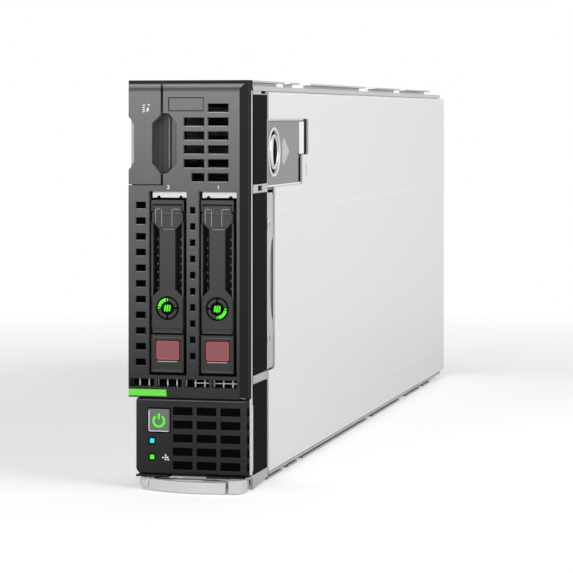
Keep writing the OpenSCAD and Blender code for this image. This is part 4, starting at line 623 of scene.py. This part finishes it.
# finger scoop: curved trough lining with painted highlights on its ridges and on the notch's bevel, carried
# by the service tab
scoopLook = dict(left=-16.45, right=-5.45, low=139.5, high=165.9, corner=4.4, cols=45, rows=19,
                 ridges=((-10.15, 141.5, 164.0, 0.34, 5.0), (-7.9, 142.6, 162.8, 0.24, 2.8)))
x = np.linspace(scoopLook["left"], scoopLook["right"], scoopLook["cols"])
# depth across the trough: a quarter round on the left, a shallow hollow, then a steep rise with a step
section = [(-16.45, 0.15), (-15.9, 2.0), (-14.6, 3.9), (-12.8, 5.0), (-10.9, 5.2), (-10.4, 5.3), (-9.6, 5.0),
           (-8.6, 3.4), (-8.0, 2.9), (-7.3, 2.7), (-6.4, 2.2), (-5.45, 0.2)]
depth = np.interp(x, *zip(*section))
# the ends are cut off at 45 degrees, so a column's foot rises by as much as it lies within a corner
inset = np.maximum(0, np.maximum(scoopLook["left"] + scoopLook["corner"] - x,
                                 x - scoopLook["right"] + scoopLook["corner"]))
t = np.linspace(0, 1, scoopLook["rows"])
low = scoopLook["low"] + inset
high = scoopLook["high"] - inset
z = low[:, None] + (high - low)[:, None] * t[None, :]
lining = np.stack([np.broadcast_to(x[:, None], z.shape), z, np.broadcast_to(-depth[:, None], z.shape)], -1)
addPiece("scoop_lining", [(face(lining.reshape(-1, 3)), gridFaces(*z.shape).tolist())], paint["drivePlastic"],
         "service_tab")
# painted highlights on the trough's ridge lines
ridges = [bar((x, low), (x, high), wide, 0.1, frontPlace(back), steps=31)
          for x, low, high, wide, back in scoopLook["ridges"]]
addPiece("scoop_ridge_highlights", ridges, paint["paleLine"], "service_tab")
# painted highlight on the bevel of the tab's notch
notch = np.array([[-26.2, 143.0], [-25.0, 144.4], [-25.0, 161.2], [-26.2, 162.6]])
addPiece("notch_bevel_highlight", [plate(notch, 0.12, 0.04, face, base=-0.06)], paint["paleLine"], "service_tab",
         smooth=False)
print("finger scoop")

# release on the right-hand side: plate, ring, arrow, bright edges, with painted shade in the ring's gap and a
# painted highlight and shade inside the button
releaseLook = dict(back=49.3, up=148.3, plateX=27.0, plateStart=34.0, plateEnd=100.0, plateTop=162.4,
                   plateFoot=133.4, footShort=1.5, bandEnd=109.5, bandHigh=15.6, bandUp=154.4, collar=11.4,
                   crescent=6.2, wallX=26.6)
centre = (releaseLook["back"], releaseLook["up"])
releasePlace = sidePlace(releaseLook["plateX"])
# the plate is cut round the collar: upper and lower halves meet on the collar's level
angles = np.linspace(0, math.pi, 25)
collar, start = releaseLook["collar"], releaseLook["plateStart"]
for half, sign, edge, end in (("upper", 1, releaseLook["plateTop"], releaseLook["plateEnd"]),
                              ("lower", -1, releaseLook["plateFoot"],
                               releaseLook["plateEnd"] - releaseLook["footShort"])):
    arc = np.column_stack([centre[0] + collar * np.cos(angles), centre[1] + sign * collar * np.sin(angles)])
    outline = np.concatenate([[[start, centre[1]], [start, edge], [end, edge], [end, centre[1]]], arc])
    outline = outline if sign < 0 else outline[::-1]
    addPiece("release_plate_" + half, [plate(outline, 0.3, 0.05, releasePlace, base=-0.3)],
             paint["deckPaint"], "case", smooth=False)
# profiles of the ring, the gap painted black as shade, and the button's dish, as (radius, height)
collarRing = [(11.3, -1.4), (11.3, 0.1), (11.0, 0.35), (10.5, 0.35), (10.2, 0.0), (10.2, -1.4)]
pocket = [(10.2, -1.1), (9.2, -1.2), (8.25, -1.2)]
button = [(8.1, -1.3), (8.1, 0.0), (7.8, 0.3), (7.0, 0.3), (6.7, 0.0), (6.6, -0.5), (5.9, -0.55), (5.6, -0.2),
          (3.2, -0.75), (0.3, -0.9)]
# painted shade: the gap between collar and button is black
addPiece("release_gap_shade", [turned(pocket, releasePlace, centre, steps=72, capped=False)], paint["blackPlastic"],
         "case")
addPiece("release_collar", [turned(collarRing, releasePlace, centre, steps=72, capped=False)],
         paint["whiteMetal"], "case")
addPiece("release_button_dish", [turned(button, releasePlace, centre, steps=72)], paint["brightMetal"],
         "panel_release")
# painted highlight and painted shade inside the button's dish: a bright and a dark crescent, two half
# ellipses as high as each other, one of them narrower
t = np.linspace(math.pi / 2, 3 * math.pi / 2, 28)
tall = releaseLook["crescent"]
for word, side, wideShare, thinShare, material in (("bright", 1, 0.95, 0.35, "whiteMetal"),
                                                   ("dark", -1, 0.9, 0.2, "blackPlastic")):
    bulge, hollow = ([(centre[0] + side * tall * share * math.cos(a), centre[1] + tall * math.sin(a))
                      for a in angles] for share, angles in ((wideShare, t), (thinShare, t[1:-1])))
    crescent = np.array(bulge + hollow[::-1])
    crescent = crescent if side > 0 else crescent[::-1]
    addPiece("release_crescent_painted_" + word, [plate(crescent, 0.1, 0.0, releasePlace, base=-0.05)],
             paint[material], "panel_release", smooth=False)
arrow = np.array([[65.0, 143.2], [66.6, 143.2], [68.2, 141.6], [79.0, 148.3], [68.2, 155.0], [66.6, 153.4],
                  [65.0, 153.4]])
addPiece("release_arrow", [plate(arrow, 0.12, 0.02, releasePlace)], paint["arrowPaint"], "case",
         smooth=False)
bandWide = releaseLook["bandEnd"] - releaseLook["plateEnd"]
bandMiddle = ((releaseLook["plateEnd"] + releaseLook["bandEnd"]) / 2 + 0.2, releaseLook["bandUp"])
bandOutline = roundedBox(bandWide, releaseLook["bandHigh"], 0.5, bandMiddle)
bright = [plate(bandOutline, 0.5, 0.3, releasePlace, base=-0.3),
          bar((34.5, 163.0), (109, 163.0), 0.7, 0.3, releasePlace, steps=41, base=-0.1),
          bar((34.5, 132.9), (103, 132.9), 0.9, 0.3, releasePlace, steps=41, base=-0.1)]
addPiece("release_bright_edges", bright, paint["whiteMetal"], "case")
wallPlace = sidePlace(releaseLook["wallX"])
wall = [bar((112.3, 161.8), (112.3, 146.5), 4.6, 0.5, wallPlace, steps=31, roundEnds=False),
        bar((101.2, 145.0), (101.2, 133.6), 3.6, 0.5, wallPlace, steps=31, roundEnds=False)]
addPiece("release_shadow_wall", wall, paint["blackPlastic"], "case")
print("release")

# side frame: screw heads with painted shade on one side, lines between bezel and strips; panel: pressed lines
sideLook = dict(screws=((36.6, 64.5), (37.2, 116.0)), screwX=27.2, slotX=27.58, panelX=27.7, pressWide=0.35,
                pressRise=0.035, edgeX=27.44, edgeBack=6.2, edgeZ=(6.6, 176.0), edgeWide=2.5, edgeRise=0.22)
screwProfile = [(2.1, 0), (2.1, 0.2), (1.7, 0.36), (0.9, 0.38), (0.75, 0.1)]
heads = [turned(screwProfile, sidePlace(sideLook["screwX"]), at, steps=28) for at in sideLook["screws"]]
addPiece("screw_rims", heads, paint["whiteMetal"], "case")
# painted shade: a black stroke on one side of each screw head
slots = [bar((y + 1.3, z - 1.9), (y + 1.3, z + 1.2), 0.9, 0.1, sidePlace(sideLook["slotX"]))
         for y, z in sideLook["screws"]]
addPiece("screw_shade_strokes", slots, paint["blackPlastic"], "case")
# pressed lines in the panel, from one end to the other
pressed = [((150, 121.2), (500, 121.2)), ((52, 63.8), (120, 63.8)), ((166, 22.0), (500, 18.4)),
           ((50, 90.5), (66, 91.2)), ((56, 121.5), (86, 121.9)), ((40, 175.0), (505, 175.0)),
           ((38, 4.6), (505, 4.6))]
creases = [bar(a, b, sideLook["pressWide"], sideLook["pressRise"], sidePlace(sideLook["panelX"]), steps=61)
           for a, b in pressed]
addPiece("panel_creases", creases, paint["whiteMetal"], "access_panel")
edgePlace = sidePlace(sideLook["edgeX"])
back, (low, high) = sideLook["edgeBack"], sideLook["edgeZ"]
edge = bar((back, low), (back, high), sideLook["edgeWide"], sideLook["edgeRise"], edgePlace, steps=61,
           roundEnds=False)
addPiece("frame_front_edge", [edge], paint["leverPaint"], "case")
# wider light edge of the side frame beside the power panel
strip = np.array([[1.8, 6.9], [7.4, 6.9], [7.4, 40.6], [1.8, 40.2]])
addPiece("frame_light_strip", [plate(strip, 0.2, 0.08, edgePlace)], paint["leverPaint"], "case",
         smooth=False)
print("side details")

# lever: curled spring ends in the gap above the grip, each as start across, reach and rise
springLook = dict(curls=((-19.0, 7.5, 0.5), (-13.2, 6.0, 0.35), (-6.4, 4.2, 0.3)), back=2.8, bow=1.6, up=4.75,
                  wire=0.24)
t = np.linspace(0, 1, 40)[:, None]
curls = []
for startX, reach, rise in springLook["curls"]:
    # a flat coil end: across along the lever, bowed outwards by a half sine
    arch = np.sin(math.pi * t)
    path = np.concatenate([startX + reach * t, springLook["back"] - springLook["bow"] * arch,
                           springLook["up"] + rise * arch], 1)
    path = path * mm + np.array([0, bezelFace, 0])
    curls.append(tube(path, springLook["wire"] * mm))
addPiece("spring_curls", curls, paint["whiteMetal"], "case")
print("lever details")

# floor, world, lamps, camera
studioLook = dict(floorTone=0.93, floorGlow=0.3, fadeFrom=0.3, fadeTo=0.75, reach=3.2, grid=33, dome=0.36)


def backdrop():
    reach = np.linspace(-studioLook["reach"], studioLook["reach"], studioLook["grid"])
    u, v = np.meshgrid(reach, reach, indexing="ij")
    # a floor that stays flat around the object and sinks a little far from it
    lift = -0.0002 - 0.00005 * (u ** 2 + v ** 2)
    points = np.stack([u, v + 0.4, lift], -1).reshape(-1, 3)
    mesh = bpy.data.meshes.new("floor")
    mesh.from_pydata(points.tolist(), [], gridFaces(len(reach), len(reach)).tolist())
    mesh.update()
    floor = bpy.data.objects.new("floor", mesh)
    bpy.context.scene.collection.objects.link(floor)
    material = bpy.data.materials.new("floorPaint")
    material.use_nodes = True
    tree = material.node_tree
    shader = tree.nodes["Principled BSDF"]
    shader.inputs["Base Color"].default_value = (*[studioLook["floorTone"]] * 3, 1)
    shader.inputs["Roughness"].default_value = 0.9
    shader.inputs["Specular IOR Level"].default_value = 0.0
    place = tree.nodes.new("ShaderNodeTexCoord")
    length = tree.nodes.new("ShaderNodeVectorMath")
    length.operation = "LENGTH"
    tree.links.new(place.outputs["Object"], length.inputs[0])
    fade = tree.nodes.new("ShaderNodeMapRange")
    fade.inputs["From Min"].default_value = studioLook["fadeFrom"]
    fade.inputs["From Max"].default_value = studioLook["fadeTo"]
    tree.links.new(length.outputs["Value"], fade.inputs["Value"])
    white = tree.nodes.new("ShaderNodeEmission")
    white.inputs["Strength"].default_value = 1.0
    # the camera sees a little more white than the lamps give, while the shadow stays
    rays = tree.nodes.new("ShaderNodeLightPath")
    lift = mathNode(tree, "MULTIPLY", rays.outputs["Is Camera Ray"], studioLook["floorGlow"])
    shader.inputs["Emission Color"].default_value = (1, 1, 1, 1)
    tree.links.new(lift, shader.inputs["Emission Strength"])
    blend = tree.nodes.new("ShaderNodeMixShader")
    tree.links.new(fade.outputs["Result"], blend.inputs[0])
    tree.links.new(shader.outputs[0], blend.inputs[1])
    tree.links.new(white.outputs[0], blend.inputs[2])
    tree.links.new(blend.outputs[0], tree.nodes["Material Output"].inputs["Surface"])
    mesh.materials.append(material)


def studioWorld():
    # an even dome that lights the scene, and plain white wherever the camera, a gloss or a clear piece looks
    world = bpy.data.worlds.new("studio")
    bpy.context.scene.world = world
    world.use_nodes = True
    tree = world.node_tree
    tree.nodes.clear()
    rays = tree.nodes.new("ShaderNodeLightPath")
    seen = mathNode(tree, "MAXIMUM", rays.outputs["Is Camera Ray"], rays.outputs["Is Transmission Ray"])
    seen = mathNode(tree, "MAXIMUM", seen, rays.outputs["Is Glossy Ray"])
    pick = tree.nodes.new("ShaderNodeMixShader")
    tree.links.new(seen, pick.inputs[0])
    for socket, strength in ((1, studioLook["dome"]), (2, 1.0)):
        light = tree.nodes.new("ShaderNodeBackground")
        light.inputs["Color"].default_value = (1, 1, 1, 1)
        light.inputs["Strength"].default_value = strength
        tree.links.new(light.outputs[0], pick.inputs[socket])
    out = tree.nodes.new("ShaderNodeOutputWorld")
    tree.links.new(pick.outputs[0], out.inputs["Surface"])


backdrop()
studioWorld()

lamps = {
    "keyRight": dict(at=(1.5, -0.5, 1.0), size=1.4, power=17, aim=(0, 0, 0.1)),
    "frontTop": dict(at=(-0.42, -1.75, 0.62), size=0.36, power=9, aim=(0, -0.2, 0.12)),
    "leftFill": dict(at=(-1.4, -0.9, 0.6), size=0.9, power=3, aim=(0, -0.2, 0.1)),
}
for name, lamp in lamps.items():
    light = bpy.data.lights.new(name, "AREA")
    light.shape = "SQUARE"
    light.size = lamp["size"]
    light.energy = lamp["power"]
    holder = bpy.data.objects.new(name, light)
    bpy.context.scene.collection.objects.link(holder)
    holder.location = lamp["at"]
    holder.rotation_euler = (Vector(lamp["aim"]) - Vector(lamp["at"])).to_track_quat("-Z", "Y").to_euler()

cameraLook = dict(at=(0.2936, -1.3012, 0.1644), turnDeg=13.305, lens=155.70, sensor=36, shift=-0.2961,
                  near=0.05)
eye = bpy.data.cameras.new("camera")
eye.lens = cameraLook["lens"]
eye.sensor_width = cameraLook["sensor"]
eye.shift_y = cameraLook["shift"]
eye.clip_start = cameraLook["near"]
eyeHolder = bpy.data.objects.new("camera", eye)
bpy.context.scene.collection.objects.link(eyeHolder)
eyeHolder.location = cameraLook["at"]
eyeHolder.rotation_euler = (math.radians(90), 0, math.radians(cameraLook["turnDeg"]))
bpy.context.scene.camera = eyeHolder
bpy.context.scene.view_settings.view_transform = "Standard"
print("floor, lamps and camera")
